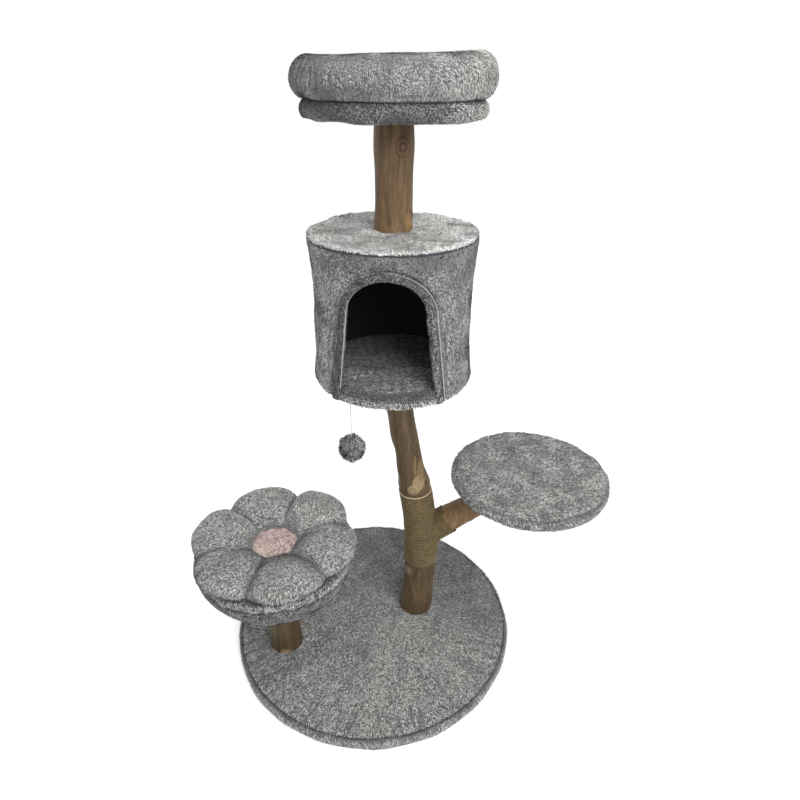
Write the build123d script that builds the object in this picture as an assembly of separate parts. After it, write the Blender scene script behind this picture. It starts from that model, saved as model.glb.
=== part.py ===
"""A free-standing cat tree: round plush base, forked log trunk with a side perch, an arched cabin,
a bolster bed on a short upper post, a flower cushion on its own short post, and a hanging pompom.

Millimetres, +Z up. The origin is the centre of the base's underside, on the floor, and the cabin's
door faces -Y.
"""

from build123d import *
from math import atan2, cos, degrees, hypot, radians, sin, tan
import os

os.makedirs("parts", exist_ok=True)

# ---- plush and board stock ---------------------------------------------------------------------
PILE = 5.0                 # plush with its pile, on every covered face
UNDER_PILE = 3.0           # thinner plush under the shelves
SEAT_GAP = 0.3             # gap under a cushion that lifts off

# ---- base --------------------------------------------------------------------------------------
BASE_BOARD_R = 300.0
BASE_BOARD_T = 20.0
FELT_T = 2.0
FELT_INSET = 2.0           # the felt stops this far inside the plush side

# ---- logs ----------------------------------------------------------------------------------------
TRUNK_FOOT_X, TRUNK_FOOT_Y = 97.0, 30.0
TRUNK_FOOT_R = 36.0
TRUNK_R = 34.0             # under the rope, round the fork
FORK_X, FORK_Y, FORK_Z = 106.0, 32.0, 243.0
COLLAR_X, COLLAR_Z, COLLAR_R = 88.0, 382.0, 33.5    # swelling above the rope
BEND_X, BEND_Z, BEND_R = 80.0, 423.0, 27.5
TRUNK_TOP_R = 26.5
TRUNK_TOP_OUT = 2.0        # the trunk's top stands this far right of the cabin's axis
BRANCH_R = 27.0
BRANCH_TOP_X, BRANCH_TOP_Y = 300.0, 33.0
PERCH_BOLT_X = 286.0
POST_R = 31.5              # upper post
SHORT_POST_R = 34.0

# ---- rope binding --------------------------------------------------------------------------------
TWINE_D = 3.0
ROPE_BOTTOM_Z, ROPE_TOP_Z = 174.0, 366.0
BRANCH_ROPE_LENGTH = 73.0  # along the branch, from the trunk's axis

# ---- perch ---------------------------------------------------------------------------------------
PERCH_X, PERCH_Y = 327.0, 33.0
PERCH_BOARD_R = 153.0
PERCH_BOARD_T = 17.0
PERCH_UNDER_Z = 385.0

# ---- cabin ---------------------------------------------------------------------------------------
CABIN_X, CABIN_Y = 44.0, 37.0
CABIN_UNDER_Z = 637.0
CABIN_HEIGHT = 265.0
CABIN_BOARD_R = 131.0
CABIN_BOARD_T = 15.0
WALL_T = 4.0
LINING_T = 1.5
RIM_PLUSH = 9.5            # thickness of the plush at the cabin's top and bottom edges
WAIST_PLUSH = 2.5          # and at its middle
DOOR_W = 133.0             # clear width where the arch springs
DOOR_LEAN = 6.4            # degrees that each leg leans outward below that
DOOR_HEAD = 24.0           # wall left between the doorway and the roof board
DOOR_TURN = -4.0           # degrees about the cabin's axis
BINDING_W = 11.0           # width of the plush edge on the face of the wall
BINDING_LIP = 3.0          # thickness folded over the cut edge
BINDING_PROUD = 2.0        # how far it stands out past the rim
FLOOR_PAD_T = 4.0

# ---- bed -----------------------------------------------------------------------------------------
BED_X, BED_Y = 45.0, 37.0
BED_UNDER_Z = 1073.0
BED_BOARD_R = 136.0
BED_BOARD_T = 15.0
BED_TOPPING = 10.0         # wadding and plush over the board
BED_EDGE = 8.0             # padding round the bed's board
BOLSTER_OUT = 12.5         # how far the bolster stands out past that
BOLSTER_W, BOLSTER_H = 62.0, 68.0
BOLSTER_SINK = 8.0         # how much of its height is pressed flat on the bed's base
BED_PAD_GAP = 3.0          # round the loose pad
BED_PAD_T = 24.0

# ---- flower --------------------------------------------------------------------------------------
FLOWER_INSET = 95.0        # short post's axis, in from the base board's edge
FLOWER_BEARING = 202.06    # degrees from +X
TRAY_UNDER_Z = 193.0
FLOWER_BOARD_T = 15.0
FLOWER_BOARD_INSET = 8.0   # the board stops this far inside the tray's foot
TRAY_FOOT_R = 96.0
TRAY_RIM_R = 155.0
TRAY_H = 110.0
TRAY_BULGE = 19.0          # how far the bowl's side bows out of a straight cone
TRAY_LIP = 26.0            # width of the rolled rim
TRAY_WELL = 22.0           # depth of the well that the cushion sits in
PETALS = 6
PETAL_TURN = 50.0          # degrees from +X to the first petal's middle
PETAL_OUT = 11.0           # how far the petals reach past the tray's rim
PETAL_R = 85.0
PETAL_SIDE = 15.0          # height of a petal's side
PETAL_CROWN = 26.0         # and of the crown over it
HEART_R = 46.0             # pink centre
HEART_T = 14.0
HEART_SINK = 32.0          # depth of its top under the petals' tops
PLUG_GAP = 3.0             # round the cushion's underside, in the well

# ---- fasteners: M8 furniture bolts ---------------------------------------------------------------
BOLT_R = 4.0
HEAD_R, HEAD_H = 7.5, 5.0
KEY_AF = 5.0               # hexagon socket, across flats
KEY_DEPTH = 3.0
WASHER_R, WASHER_T = 11.0, 1.6
BOLT_HOLE_R = 4.3
BORE_R = 12.0              # counterbore for washer and head
INSERT_R, INSERT_L = 6.0, 26.0
THREAD_GAP = 0.2
BORE_DEPTH = 8.0           # washer, head and a little room
TRUNK_BORE = 16.0          # the fork bolt's head lies this deep in the trunk
FORK_GRIP = 70.0           # fork bolt, from the washer to the branch's insert
SCREW_R, SCREW_HEAD_R, SCREW_L = 1.75, 3.5, 18.0
SCREW_SEAT = 0.3           # depth of a screw head under the wall's face
SCREWS_PER_BOARD = 8

# ---- hanging toy ---------------------------------------------------------------------------------
TOY_INSET = 5.5            # in from the cabin floor board's edge
TOY_BEARING = 234.0        # degrees from +X, about the cabin's axis
STAPLE_WIRE_R = 0.75
STAPLE_W = 10.0
STAPLE_DROP = 4.0          # staple's crown under the plush
STAPLE_LEG = 14.0
RING_R, RING_WIRE_R = 3.5, 0.8
LOOP_R, LOOP_CORD_R = 2.6, 0.6
LINK_GAP = 0.3             # between rings that hang in each other
STRING_R = 0.8
STRING_L = 68.0
POMPOM_R = 24.0

# ---- worked out ----------------------------------------------------------------------------------
BASE_BOARD_Z = FELT_T
BASE_TOP_Z = FELT_T + BASE_BOARD_T + PILE
BASE_R = BASE_BOARD_R + PILE
PERCH_TOP_Z = PERCH_UNDER_Z + UNDER_PILE + PERCH_BOARD_T + PILE
PERCH_R = PERCH_BOARD_R + PILE
FLOOR_BOARD_Z = CABIN_UNDER_Z + UNDER_PILE
FLOOR_TOP_Z = FLOOR_BOARD_Z + CABIN_BOARD_T
CABIN_TOP_Z = CABIN_UNDER_Z + CABIN_HEIGHT
ROOF_BOARD_Z = CABIN_TOP_Z - PILE - CABIN_BOARD_T
ROOF_TOP_Z = CABIN_TOP_Z - PILE
SILL_Z = FLOOR_TOP_Z + FLOOR_PAD_T
DOOR_TOP_Z = ROOF_BOARD_Z - DOOR_HEAD
WALL_R = CABIN_BOARD_R + WALL_T
RIM_R = WALL_R + RIM_PLUSH
WAIST_R = WALL_R + WAIST_PLUSH
LINED_R = CABIN_BOARD_R - LINING_T
BED_BOARD_Z = BED_UNDER_Z + UNDER_PILE
BED_TOP_Z = BED_BOARD_Z + BED_BOARD_T + BED_TOPPING
BED_RIM_R = BED_BOARD_R + BED_EDGE
BOLSTER_R = BED_RIM_R + BOLSTER_OUT
BED_PAD_R = BOLSTER_R - BOLSTER_W - BED_PAD_GAP
FLOWER_X = (BASE_BOARD_R - FLOWER_INSET) * cos(radians(FLOWER_BEARING))
FLOWER_Y = (BASE_BOARD_R - FLOWER_INSET) * sin(radians(FLOWER_BEARING))
FLOWER_BOARD_R = TRAY_FOOT_R - FLOWER_BOARD_INSET
PETAL_RING_R = TRAY_RIM_R + PETAL_OUT - PETAL_R
TRAY_RIM_Z = TRAY_UNDER_Z + TRAY_H
WELL_Z = TRAY_RIM_Z - TRAY_WELL
FLOWER_BOARD_Z = TRAY_UNDER_Z + UNDER_PILE
TOY_X = CABIN_X + (CABIN_BOARD_R - TOY_INSET) * cos(radians(TOY_BEARING))
TOY_Y = CABIN_Y + (CABIN_BOARD_R - TOY_INSET) * sin(radians(TOY_BEARING))
CABIN = Pos(CABIN_X, CABIN_Y, 0)
DOOR = CABIN * Rot(0, 0, DOOR_TURN)

parts = {}


def rod(radius, z0, z1, x=0.0, y=0.0):
    """A vertical cylinder between two heights."""
    return Pos(x, y, z0) * Cylinder(radius, z1 - z0, align=(Align.CENTER, Align.CENTER, Align.MIN))


def tube(outer, inner, z0, z1, x=0.0, y=0.0):
    return rod(outer, z0, z1, x, y) - rod(inner, z0 - 1, z1 + 1, x, y)


def lathe(edges, x=0.0, y=0.0):
    """Turns a closed outline of edges, drawn as (radius, height), about a vertical axis."""
    outline = Plane.XZ * make_face(edges)
    return Pos(x, y, 0) * revolve(outline, Axis.Z)


def log(sections):
    """A log through (x, y, z, radius) rings, each in a level plane, straight from ring to ring."""
    rings = [Plane(origin=(x, y, z)) * Circle(radius) for x, y, z, radius in sections]
    return loft(rings, ruled=True)


# ---- fasteners -----------------------------------------------------------------------------------
bolts, washers, inserts = [], [], []


def fasten(seat, grip):
    """A bolt at seat, whose local +Z runs along the shank, through grip into a threaded insert.

    Returns the clearance hole with its counterbore, and the hole that holds the insert.
    """
    head_z = -WASHER_T - HEAD_H
    head = rod(HEAD_R, head_z, -WASHER_T)
    shank = rod(BOLT_R, -WASHER_T, grip + INSERT_L - HEAD_H)
    hexagon = RegularPolygon(KEY_AF / 2, 6, major_radius=False)
    key = Pos(0, 0, head_z) * extrude(hexagon, KEY_DEPTH)
    bolts.append(seat * (head + shank - key))
    washers.append(seat * tube(WASHER_R, BOLT_HOLE_R, -WASHER_T, 0))
    inserts.append(seat * tube(INSERT_R, BOLT_R + THREAD_GAP, grip, grip + INSERT_L))
    bore_out = TRUNK_FOOT_R * 2
    clear = seat * (rod(BOLT_HOLE_R, 0, grip) + rod(BORE_R, -bore_out, 0))
    return clear, seat * rod(INSERT_R, grip, grip + INSERT_L)


def up_through(x, y, board_z, grip):
    """A bolt whose head is let into the underside of a board, pointing up."""
    return fasten(Pos(x, y, board_z + BORE_DEPTH), grip - BORE_DEPTH)


def down_through(x, y, board_top_z, grip):
    """A bolt whose head is let into the top of a board, pointing down."""
    return fasten(Pos(x, y, board_top_z - BORE_DEPTH) * Rot(180, 0, 0), grip - BORE_DEPTH)


# ---- logs ----------------------------------------------------------------------------------------
trunk_sections = [
    (TRUNK_FOOT_X, TRUNK_FOOT_Y, BASE_TOP_Z, TRUNK_FOOT_R),
    (TRUNK_FOOT_X + 3, TRUNK_FOOT_Y, 67, TRUNK_FOOT_R),
    (FORK_X - 2, FORK_Y, 110, TRUNK_R),
    (FORK_X, FORK_Y, ROPE_BOTTOM_Z, TRUNK_R),
    (FORK_X + 1, FORK_Y, 195, TRUNK_R),
    (FORK_X, FORK_Y, FORK_Z, TRUNK_R - 0.5),
    (FORK_X - 7, FORK_Y, 312, TRUNK_R - 2),
    (COLLAR_X + 2.5, FORK_Y, ROPE_TOP_Z, TRUNK_R - 2),
    (COLLAR_X, FORK_Y, COLLAR_Z, COLLAR_R),
    ((COLLAR_X + BEND_X) / 2 + 0.5, FORK_Y, 401, BEND_R + 2),
    (BEND_X, FORK_Y, BEND_Z, BEND_R),
    (73.5, FORK_Y + 1, 467, TRUNK_TOP_R - 1),
    (65, FORK_Y + 3, 510, TRUNK_TOP_R),
    (CABIN_X + TRUNK_TOP_OUT, CABIN_Y, CABIN_UNDER_Z, TRUNK_TOP_R),
]
trunk = log(trunk_sections)

rise = PERCH_UNDER_Z - FORK_Z
run = BRANCH_TOP_X - FORK_X
slope = degrees(atan2(rise, run))
reach = hypot(rise, run)
branch_start = Pos(FORK_X, FORK_Y, FORK_Z) * Rot(0, 90 - slope, 0)
branch_rings = [
    branch_start * Circle(BRANCH_R + 2),
    branch_start * Pos(0, 0, reach * 0.35) * Circle(BRANCH_R),
    branch_start * Pos(0, 0, reach * 0.72) * Circle(BRANCH_R - 0.5),
    branch_start * Pos(0, 0, reach * 1.3) * Circle(BRANCH_R + 1),
]
above_branch = rod(reach, PERCH_UNDER_Z, CABIN_UNDER_Z, BRANCH_TOP_X, BRANCH_TOP_Y)
branch = loft(branch_rings) - above_branch - trunk
branch = max(branch.solids(), key=lambda s: s.volume)

# rope: a sleeve one twine thick, following the trunk and the root of the branch
wound = [ring for ring in trunk_sections if ROPE_BOTTOM_Z <= ring[2] <= ROPE_TOP_Z]
rope_core = log([(x, y, z, radius + TWINE_D) for x, y, z, radius in wound])
trunk_rope = rope_core - trunk - branch
trunk_rope = max(trunk_rope.solids(), key=lambda s: s.volume)
branch_wound = branch_start * rod(BRANCH_R + TWINE_D + 1, 0, BRANCH_ROPE_LENGTH)
branch_rope = branch_wound - branch - trunk - rope_core
branch_rope = max(branch_rope.solids(), key=lambda s: s.volume)

upper_post = log([
    (CABIN_X, CABIN_Y, CABIN_TOP_Z, POST_R + 1),
    (CABIN_X, CABIN_Y, CABIN_TOP_Z + 40, POST_R - 0.5),
    (CABIN_X + 2, CABIN_Y, (CABIN_TOP_Z + BED_UNDER_Z) / 2 + 20, POST_R + 1),
    (BED_X, BED_Y, BED_UNDER_Z, POST_R - 2),
])
short_post = log([
    (FLOWER_X, FLOWER_Y, BASE_TOP_Z, SHORT_POST_R),
    (FLOWER_X + 1, FLOWER_Y, (BASE_TOP_Z + TRAY_UNDER_Z) / 2, SHORT_POST_R - 2),
    (FLOWER_X, FLOWER_Y, TRAY_UNDER_Z, SHORT_POST_R - 1),
])

# ---- joints between logs and boards ---------------------------------------------------------------
base_grip = BASE_BOARD_T + PILE
foot_clear, foot_insert = up_through(TRUNK_FOOT_X, TRUNK_FOOT_Y, BASE_BOARD_Z, base_grip)
stub_clear, stub_insert = up_through(FLOWER_X, FLOWER_Y, BASE_BOARD_Z, base_grip)
tray_clear, tray_insert = down_through(
    FLOWER_X, FLOWER_Y, FLOWER_BOARD_Z + FLOWER_BOARD_T, FLOWER_BOARD_T + UNDER_PILE
)
perch_clear, perch_insert = down_through(
    PERCH_BOLT_X, BRANCH_TOP_Y, PERCH_TOP_Z - PILE, PERCH_BOARD_T + UNDER_PILE
)
trunk_top_x = CABIN_X + TRUNK_TOP_OUT
floor_clear, floor_insert = down_through(trunk_top_x, CABIN_Y, FLOOR_TOP_Z, CABIN_BOARD_T + UNDER_PILE)
roof_clear, roof_insert = up_through(CABIN_X, CABIN_Y, ROOF_BOARD_Z, CABIN_BOARD_T + PILE)
bed_clear, bed_insert = down_through(BED_X, BED_Y, BED_BOARD_Z + BED_BOARD_T, BED_BOARD_T + UNDER_PILE)
fork_seat = branch_start * Pos(0, 0, TRUNK_BORE - TRUNK_R)
fork_clear, fork_insert = fasten(fork_seat, FORK_GRIP)

parts["trunk"] = trunk - foot_insert - floor_insert - fork_clear
parts["side_branch"] = branch - fork_insert - fork_clear - perch_insert
parts["upper_post"] = upper_post - roof_insert - bed_insert
parts["short_post"] = short_post - stub_insert - tray_insert
parts["trunk_rope"] = trunk_rope
parts["branch_rope"] = branch_rope

# ---- base ----------------------------------------------------------------------------------------
holes = [foot_clear, stub_clear]
parts["base_felt"] = rod(BASE_R - FELT_INSET, 0, FELT_T) - holes
parts["base_board"] = rod(BASE_BOARD_R, BASE_BOARD_Z, BASE_BOARD_Z + BASE_BOARD_T) - holes
base_skin = rod(BASE_R, BASE_BOARD_Z, BASE_TOP_Z)
base_skin = fillet(base_skin.edges().group_by(Axis.Z)[-1], PILE * 0.9)
parts["base_cover"] = base_skin - rod(BASE_BOARD_R, 0, BASE_BOARD_Z + BASE_BOARD_T) - holes

# ---- perch ---------------------------------------------------------------------------------------
perch_board_z = PERCH_UNDER_Z + UNDER_PILE
perch_board = rod(PERCH_BOARD_R, perch_board_z, perch_board_z + PERCH_BOARD_T, PERCH_X, PERCH_Y)
perch_skin = rod(PERCH_R, PERCH_UNDER_Z, PERCH_TOP_Z, PERCH_X, PERCH_Y)
perch_skin = fillet(perch_skin.edges().group_by(Axis.Z)[-1], PILE * 0.9)
perch_skin = fillet(perch_skin.edges().group_by(Axis.Z)[0], UNDER_PILE * 0.9)
perch_hole = rod(BOLT_HOLE_R, PERCH_UNDER_Z - 1, perch_board_z + 1, PERCH_BOLT_X, BRANCH_TOP_Y)
parts["perch_board"] = perch_board - perch_clear
parts["perch_cover"] = perch_skin - perch_board - perch_hole

# ---- cabin ---------------------------------------------------------------------------------------


def arch(width, bottom, top):
    """An arched doorway's outline on legs that lean outward, extruded out through the cabin's front."""
    half = width / 2
    spring = top - half
    foot = half + (spring - bottom) * tan(radians(DOOR_LEAN))
    legs = make_face(Polyline((-half, spring), (half, spring), (foot, bottom), (-foot, bottom), close=True))
    outline = legs + Pos(0, spring) * Circle(half)
    return DOOR * extrude(Plane.XZ * outline, RIM_R * 2)


lip_width = DOOR_W + 2 * BINDING_LIP
wall_hole = arch(lip_width, SILL_Z, DOOR_TOP_Z + BINDING_LIP)
binding_width = lip_width + 2 * BINDING_W
binding_hole = arch(binding_width, CABIN_UNDER_Z, DOOR_TOP_Z + BINDING_LIP + BINDING_W)
open_below = arch(DOOR_W, CABIN_UNDER_Z - PILE, DOOR_TOP_Z)

screws = []
screw_taper = SCREW_HEAD_R - SCREW_R
screw = rod(SCREW_R, screw_taper, SCREW_L)
screw += Cone(SCREW_HEAD_R, SCREW_R, screw_taper, align=(Align.CENTER, Align.CENTER, Align.MIN))
for board_mid in (FLOOR_BOARD_Z + CABIN_BOARD_T / 2, ROOF_BOARD_Z + CABIN_BOARD_T / 2):
    for i in range(SCREWS_PER_BOARD):
        bearing = Rot(0, 0, 360 / SCREWS_PER_BOARD * (i + 0.5))
        head = Pos(WALL_R - SCREW_SEAT, 0, board_mid) * Rot(0, -90, 0)
        screws.append(CABIN * bearing * head * screw)

parts["cabin_floor_board"] = rod(
    CABIN_BOARD_R, FLOOR_BOARD_Z, FLOOR_TOP_Z, CABIN_X, CABIN_Y
) - floor_clear - screws
parts["cabin_roof_board"] = rod(
    CABIN_BOARD_R, ROOF_BOARD_Z, ROOF_TOP_Z, CABIN_X, CABIN_Y
) - roof_clear - screws
wall = tube(WALL_R, CABIN_BOARD_R, FLOOR_BOARD_Z, ROOF_TOP_Z, CABIN_X, CABIN_Y)
parts["cabin_wall"] = wall - wall_hole - screws
parts["wall_screws"] = Compound(screws)
lining = tube(CABIN_BOARD_R, LINED_R, SILL_Z, ROOF_BOARD_Z - LINING_T, CABIN_X, CABIN_Y)
parts["cabin_lining"] = lining - wall_hole
ceiling = rod(CABIN_BOARD_R, ROOF_BOARD_Z - LINING_T, ROOF_BOARD_Z, CABIN_X, CABIN_Y)
parts["ceiling_lining"] = ceiling - roof_clear
parts["floor_pad"] = rod(CABIN_BOARD_R, FLOOR_TOP_Z, SILL_Z, CABIN_X, CABIN_Y)

mid_z = (CABIN_UNDER_Z + CABIN_TOP_Z) / 2


def waisted(proud, inner, top):
    """The cabin's waisted side, standing proud of the sleeve's face, round an inner radius."""
    rim, waist = RIM_R + proud, WAIST_R + proud
    side = ThreePointArc((rim, CABIN_UNDER_Z), (waist, mid_z), (rim, top))
    back = Polyline((rim, top), (inner, top), (inner, CABIN_UNDER_Z), (rim, CABIN_UNDER_Z))
    return lathe([side, back], CABIN_X, CABIN_Y)


parts["cabin_sleeve"] = waisted(0, WALL_R, ROOF_TOP_Z) - binding_hole
top_cover = rod(RIM_R, ROOF_TOP_Z, CABIN_TOP_Z, CABIN_X, CABIN_Y)
top_cover = fillet(top_cover.edges().group_by(Axis.Z)[-1], PILE * 0.9)
parts["cabin_top_cover"] = top_cover - rod(BOLT_HOLE_R, ROOF_BOARD_Z, CABIN_TOP_Z + 1, CABIN_X, CABIN_Y)
parts["cabin_under_cover"] = rod(WALL_R, CABIN_UNDER_Z, FLOOR_BOARD_Z, CABIN_X, CABIN_Y) - rod(
    BOLT_HOLE_R, CABIN_UNDER_Z - 1, FLOOR_TOP_Z, trunk_top_x, CABIN_Y
)
binding = (waisted(BINDING_PROUD, LINED_R, ROOF_TOP_Z) & binding_hole) - open_below
binding = binding - parts["cabin_wall"] - rod(WALL_R, 0, SILL_Z, CABIN_X, CABIN_Y) - parts["cabin_lining"]
parts["door_binding"] = max(binding.solids(), key=lambda s: s.volume)
parts["door_sill"] = waisted(0, WALL_R, ROOF_TOP_Z) & open_below & rod(RIM_R, 0, SILL_Z, CABIN_X, CABIN_Y)

# ---- bed -----------------------------------------------------------------------------------------
bed_board = rod(BED_BOARD_R, BED_BOARD_Z, BED_BOARD_Z + BED_BOARD_T, BED_X, BED_Y)
bed_skin = rod(BED_RIM_R, BED_UNDER_Z, BED_TOP_Z, BED_X, BED_Y)
bed_skin = fillet(bed_skin.edges().filter_by(GeomType.CIRCLE), (BED_TOP_Z - BED_UNDER_Z) * 0.48)
parts["bed_board"] = bed_board - bed_clear
bed_hole = rod(BOLT_HOLE_R, BED_UNDER_Z - 1, BED_BOARD_Z + 1, BED_X, BED_Y)
parts["bed_base_cover"] = bed_skin - bed_board - bed_hole
bolster_mid = BOLSTER_R - BOLSTER_W / 2
bolster_z = BED_TOP_Z - BOLSTER_SINK + BOLSTER_H / 2
bolster = Plane.XZ * Pos(bolster_mid, bolster_z) * Ellipse(BOLSTER_W / 2, BOLSTER_H / 2)
bolster = Pos(BED_X, BED_Y, 0) * revolve(bolster, Axis.Z)
parts["bed_bolster"] = bolster - rod(BOLSTER_R * 2, BED_UNDER_Z - BOLSTER_H, BED_TOP_Z, BED_X, BED_Y)
pad = rod(BED_PAD_R, BED_TOP_Z + SEAT_GAP, BED_TOP_Z + SEAT_GAP + BED_PAD_T, BED_X, BED_Y)
parts["bed_pad"] = fillet(pad.edges().filter_by(GeomType.CIRCLE), BED_PAD_T * 0.45)

# ---- flower --------------------------------------------------------------------------------------
flower_board = rod(FLOWER_BOARD_R, FLOWER_BOARD_Z, FLOWER_BOARD_Z + FLOWER_BOARD_T, FLOWER_X, FLOWER_Y)
parts["flower_board"] = flower_board - tray_clear
lip_z = TRAY_RIM_Z - TRAY_LIP / 2
bowl_side = ThreePointArc(
    (TRAY_FOOT_R, TRAY_UNDER_Z),
    ((TRAY_FOOT_R + TRAY_RIM_R + TRAY_BULGE) / 2, (TRAY_UNDER_Z + lip_z - TRAY_BULGE) / 2),
    (TRAY_RIM_R, lip_z),
)
well_r = TRAY_RIM_R - TRAY_LIP
rolled_rim = ThreePointArc((TRAY_RIM_R, lip_z), (TRAY_RIM_R - TRAY_LIP / 2, TRAY_RIM_Z), (well_r, lip_z))
well = Polyline(
    (well_r, lip_z),
    (well_r, WELL_Z),
    (0, WELL_Z),
    (0, TRAY_UNDER_Z),
    (TRAY_FOOT_R, TRAY_UNDER_Z),
)
tray = lathe([bowl_side, rolled_rim, well], FLOWER_X, FLOWER_Y)
tray_hole = rod(BOLT_HOLE_R, TRAY_UNDER_Z - 1, FLOWER_BOARD_Z + 1, FLOWER_X, FLOWER_Y)
parts["flower_tray"] = tray - flower_board - tray_hole

cushion_z = TRAY_RIM_Z + SEAT_GAP
crown_z = cushion_z + PETAL_SIDE + PETAL_CROWN
crown_r = (PETAL_R**2 + PETAL_CROWN**2) / (2 * PETAL_CROWN)
petal = rod(PETAL_R, cushion_z, crown_z) & Pos(0, 0, crown_z - crown_r) * Sphere(crown_r)
petals = [Rot(0, 0, PETAL_TURN + 360 / PETALS * i) * Pos(PETAL_RING_R, 0, 0) * petal for i in range(PETALS)]
cushion = Pos(FLOWER_X, FLOWER_Y, 0) * (petals[0] + petals[1:])
cushion += rod(well_r - PLUG_GAP, WELL_Z + SEAT_GAP, cushion_z, FLOWER_X, FLOWER_Y)
heart_top = crown_z - HEART_SINK
heart_seat = rod(HEART_R, heart_top - HEART_T, crown_z + 1, FLOWER_X, FLOWER_Y)
heart = rod(HEART_R, heart_top - HEART_T, heart_top, FLOWER_X, FLOWER_Y)
parts["flower_cushion"] = cushion - heart_seat
parts["flower_heart"] = fillet(heart.edges().group_by(Axis.Z)[-1], HEART_T * 0.6)

# ---- hanging toy: staple, ring, loop, string, pompom ----------------------------------------------
crown_axis_z = CABIN_UNDER_Z - STAPLE_DROP
leg_x = STAPLE_W / 2
leg_top = CABIN_UNDER_Z + STAPLE_LEG
crown_bar = Pos(TOY_X, TOY_Y, crown_axis_z) * Rot(0, 90, 0) * Cylinder(STAPLE_WIRE_R, STAPLE_W)
legs = [
    rod(STAPLE_WIRE_R, crown_axis_z, leg_top, TOY_X + s * leg_x, TOY_Y) for s in (-1, 1)
]
corners = [Pos(TOY_X + s * leg_x, TOY_Y, crown_axis_z) * Sphere(STAPLE_WIRE_R) for s in (-1, 1)]
staple = crown_bar + legs + corners
parts["toy_staple"] = staple
ring_drop = RING_R - RING_WIRE_R - STAPLE_WIRE_R - LINK_GAP
ring_z = crown_axis_z - ring_drop
parts["toy_ring"] = Pos(TOY_X, TOY_Y, ring_z) * Rot(0, 90, 0) * Torus(RING_R, RING_WIRE_R)
ring_foot_z = ring_z - RING_R
loop_drop = LOOP_R - LOOP_CORD_R - RING_WIRE_R - LINK_GAP
loop_z = ring_foot_z - loop_drop
loop_foot_z = loop_z - LOOP_R - LOOP_CORD_R
knot = Pos(TOY_X, TOY_Y, loop_foot_z) * Sphere(STRING_R * 1.6)
string_top_z = loop_foot_z - STRING_R * 1.2
knot -= rod(STRING_R * 3, string_top_z - 5, string_top_z, TOY_X, TOY_Y)
loop = Pos(TOY_X, TOY_Y, loop_z) * Rot(90, 0, 0) * Torus(LOOP_R, LOOP_CORD_R)
parts["string_loop"] = loop + knot
string_foot_z = string_top_z - STRING_L
parts["toy_string"] = rod(STRING_R, string_foot_z, string_top_z, TOY_X, TOY_Y)
flat = STRING_R * 2
ball_z = string_foot_z - (POMPOM_R**2 - flat**2) ** 0.5
ball = Pos(TOY_X, TOY_Y, ball_z) * Sphere(POMPOM_R)
parts["pompom"] = ball - rod(POMPOM_R, string_foot_z, string_foot_z + POMPOM_R, TOY_X, TOY_Y)
parts["cabin_under_cover"] -= staple
parts["cabin_floor_board"] -= staple

# ---- fasteners as groups --------------------------------------------------------------------------
parts["furniture_bolts"] = Compound(bolts)
parts["bolt_washers"] = Compound(washers)
parts["threaded_inserts"] = Compound(inserts)

for name, shape in parts.items():
    export_step(shape, f"parts/{name}.step")
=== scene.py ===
"""Looks of the cat tree: heather plush with real pile, sanded logs, wound twine and sewn cushions.

Metres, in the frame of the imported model: origin at the centre of the base's underside, +Z up, door to -Y.
"""

import math
from contextlib import contextmanager

import bmesh
import bpy
import numpy as np
from mathutils import Matrix, Vector


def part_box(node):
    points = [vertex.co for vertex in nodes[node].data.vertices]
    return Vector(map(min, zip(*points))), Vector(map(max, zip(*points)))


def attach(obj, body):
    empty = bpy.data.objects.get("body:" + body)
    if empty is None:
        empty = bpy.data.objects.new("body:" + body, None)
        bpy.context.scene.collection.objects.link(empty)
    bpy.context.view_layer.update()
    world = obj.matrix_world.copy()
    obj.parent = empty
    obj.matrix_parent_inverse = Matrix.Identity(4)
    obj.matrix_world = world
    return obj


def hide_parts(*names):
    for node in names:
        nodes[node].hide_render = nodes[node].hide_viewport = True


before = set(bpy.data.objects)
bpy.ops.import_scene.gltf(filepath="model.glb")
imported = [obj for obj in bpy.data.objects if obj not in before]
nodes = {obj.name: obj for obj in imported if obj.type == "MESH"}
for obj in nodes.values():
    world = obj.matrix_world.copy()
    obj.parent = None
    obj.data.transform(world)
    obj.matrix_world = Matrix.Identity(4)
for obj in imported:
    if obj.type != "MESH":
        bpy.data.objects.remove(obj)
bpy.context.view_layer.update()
TAU = 2 * math.pi

# ---- places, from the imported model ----


def middle(node):
    low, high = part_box(node)
    return (low + high) / 2


def top(node):
    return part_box(node)[1].z


def bottom(node):
    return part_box(node)[0].z


def radius(node):
    low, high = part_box(node)
    return (high.x - low.x) / 2


# ---- waves, the same in every run, and other helpers ----


WAVE_COUNT = 14
WAVE_SPREAD = 1.6  # brings nearly all values between -1 and 1


class Waves:
    """A smooth random field of about -1 to 1 over points, made of plane waves of one typical length."""

    def __init__(self, seed, length):
        count = WAVE_COUNT
        rng = np.random.default_rng(seed)
        directions = rng.normal(size=(count, 3))
        directions /= np.linalg.norm(directions, axis=1)[:, None]
        self.k = directions * (TAU / length) * rng.uniform(0.7, 1.4, count)[:, None]
        self.phase = rng.uniform(0, TAU, count)

    def __call__(self, points):
        return np.sin(points @ self.k.T + self.phase).sum(1) / math.sqrt(len(self.phase) / 2) / WAVE_SPREAD


def ripple(points, *waves):
    """The sum of smooth waves, each given as (height, seed, length)."""
    return sum(high * Waves(seed, length)(points) for high, seed, length in waves)


def smooth(x, low, high):
    """From 0 to 1 between two values of x, with soft ends."""
    t = np.clip((x - low) / (high - low), 0, 1)
    return t * t * (3 - 2 * t)


def near(value, width):
    """1 at zero, falling away over a width."""
    return np.exp(-((value / width) ** 2))


def turned(angle):
    """A bearing, brought between minus and plus half a turn."""
    return (angle + math.pi) % TAU - math.pi


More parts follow.
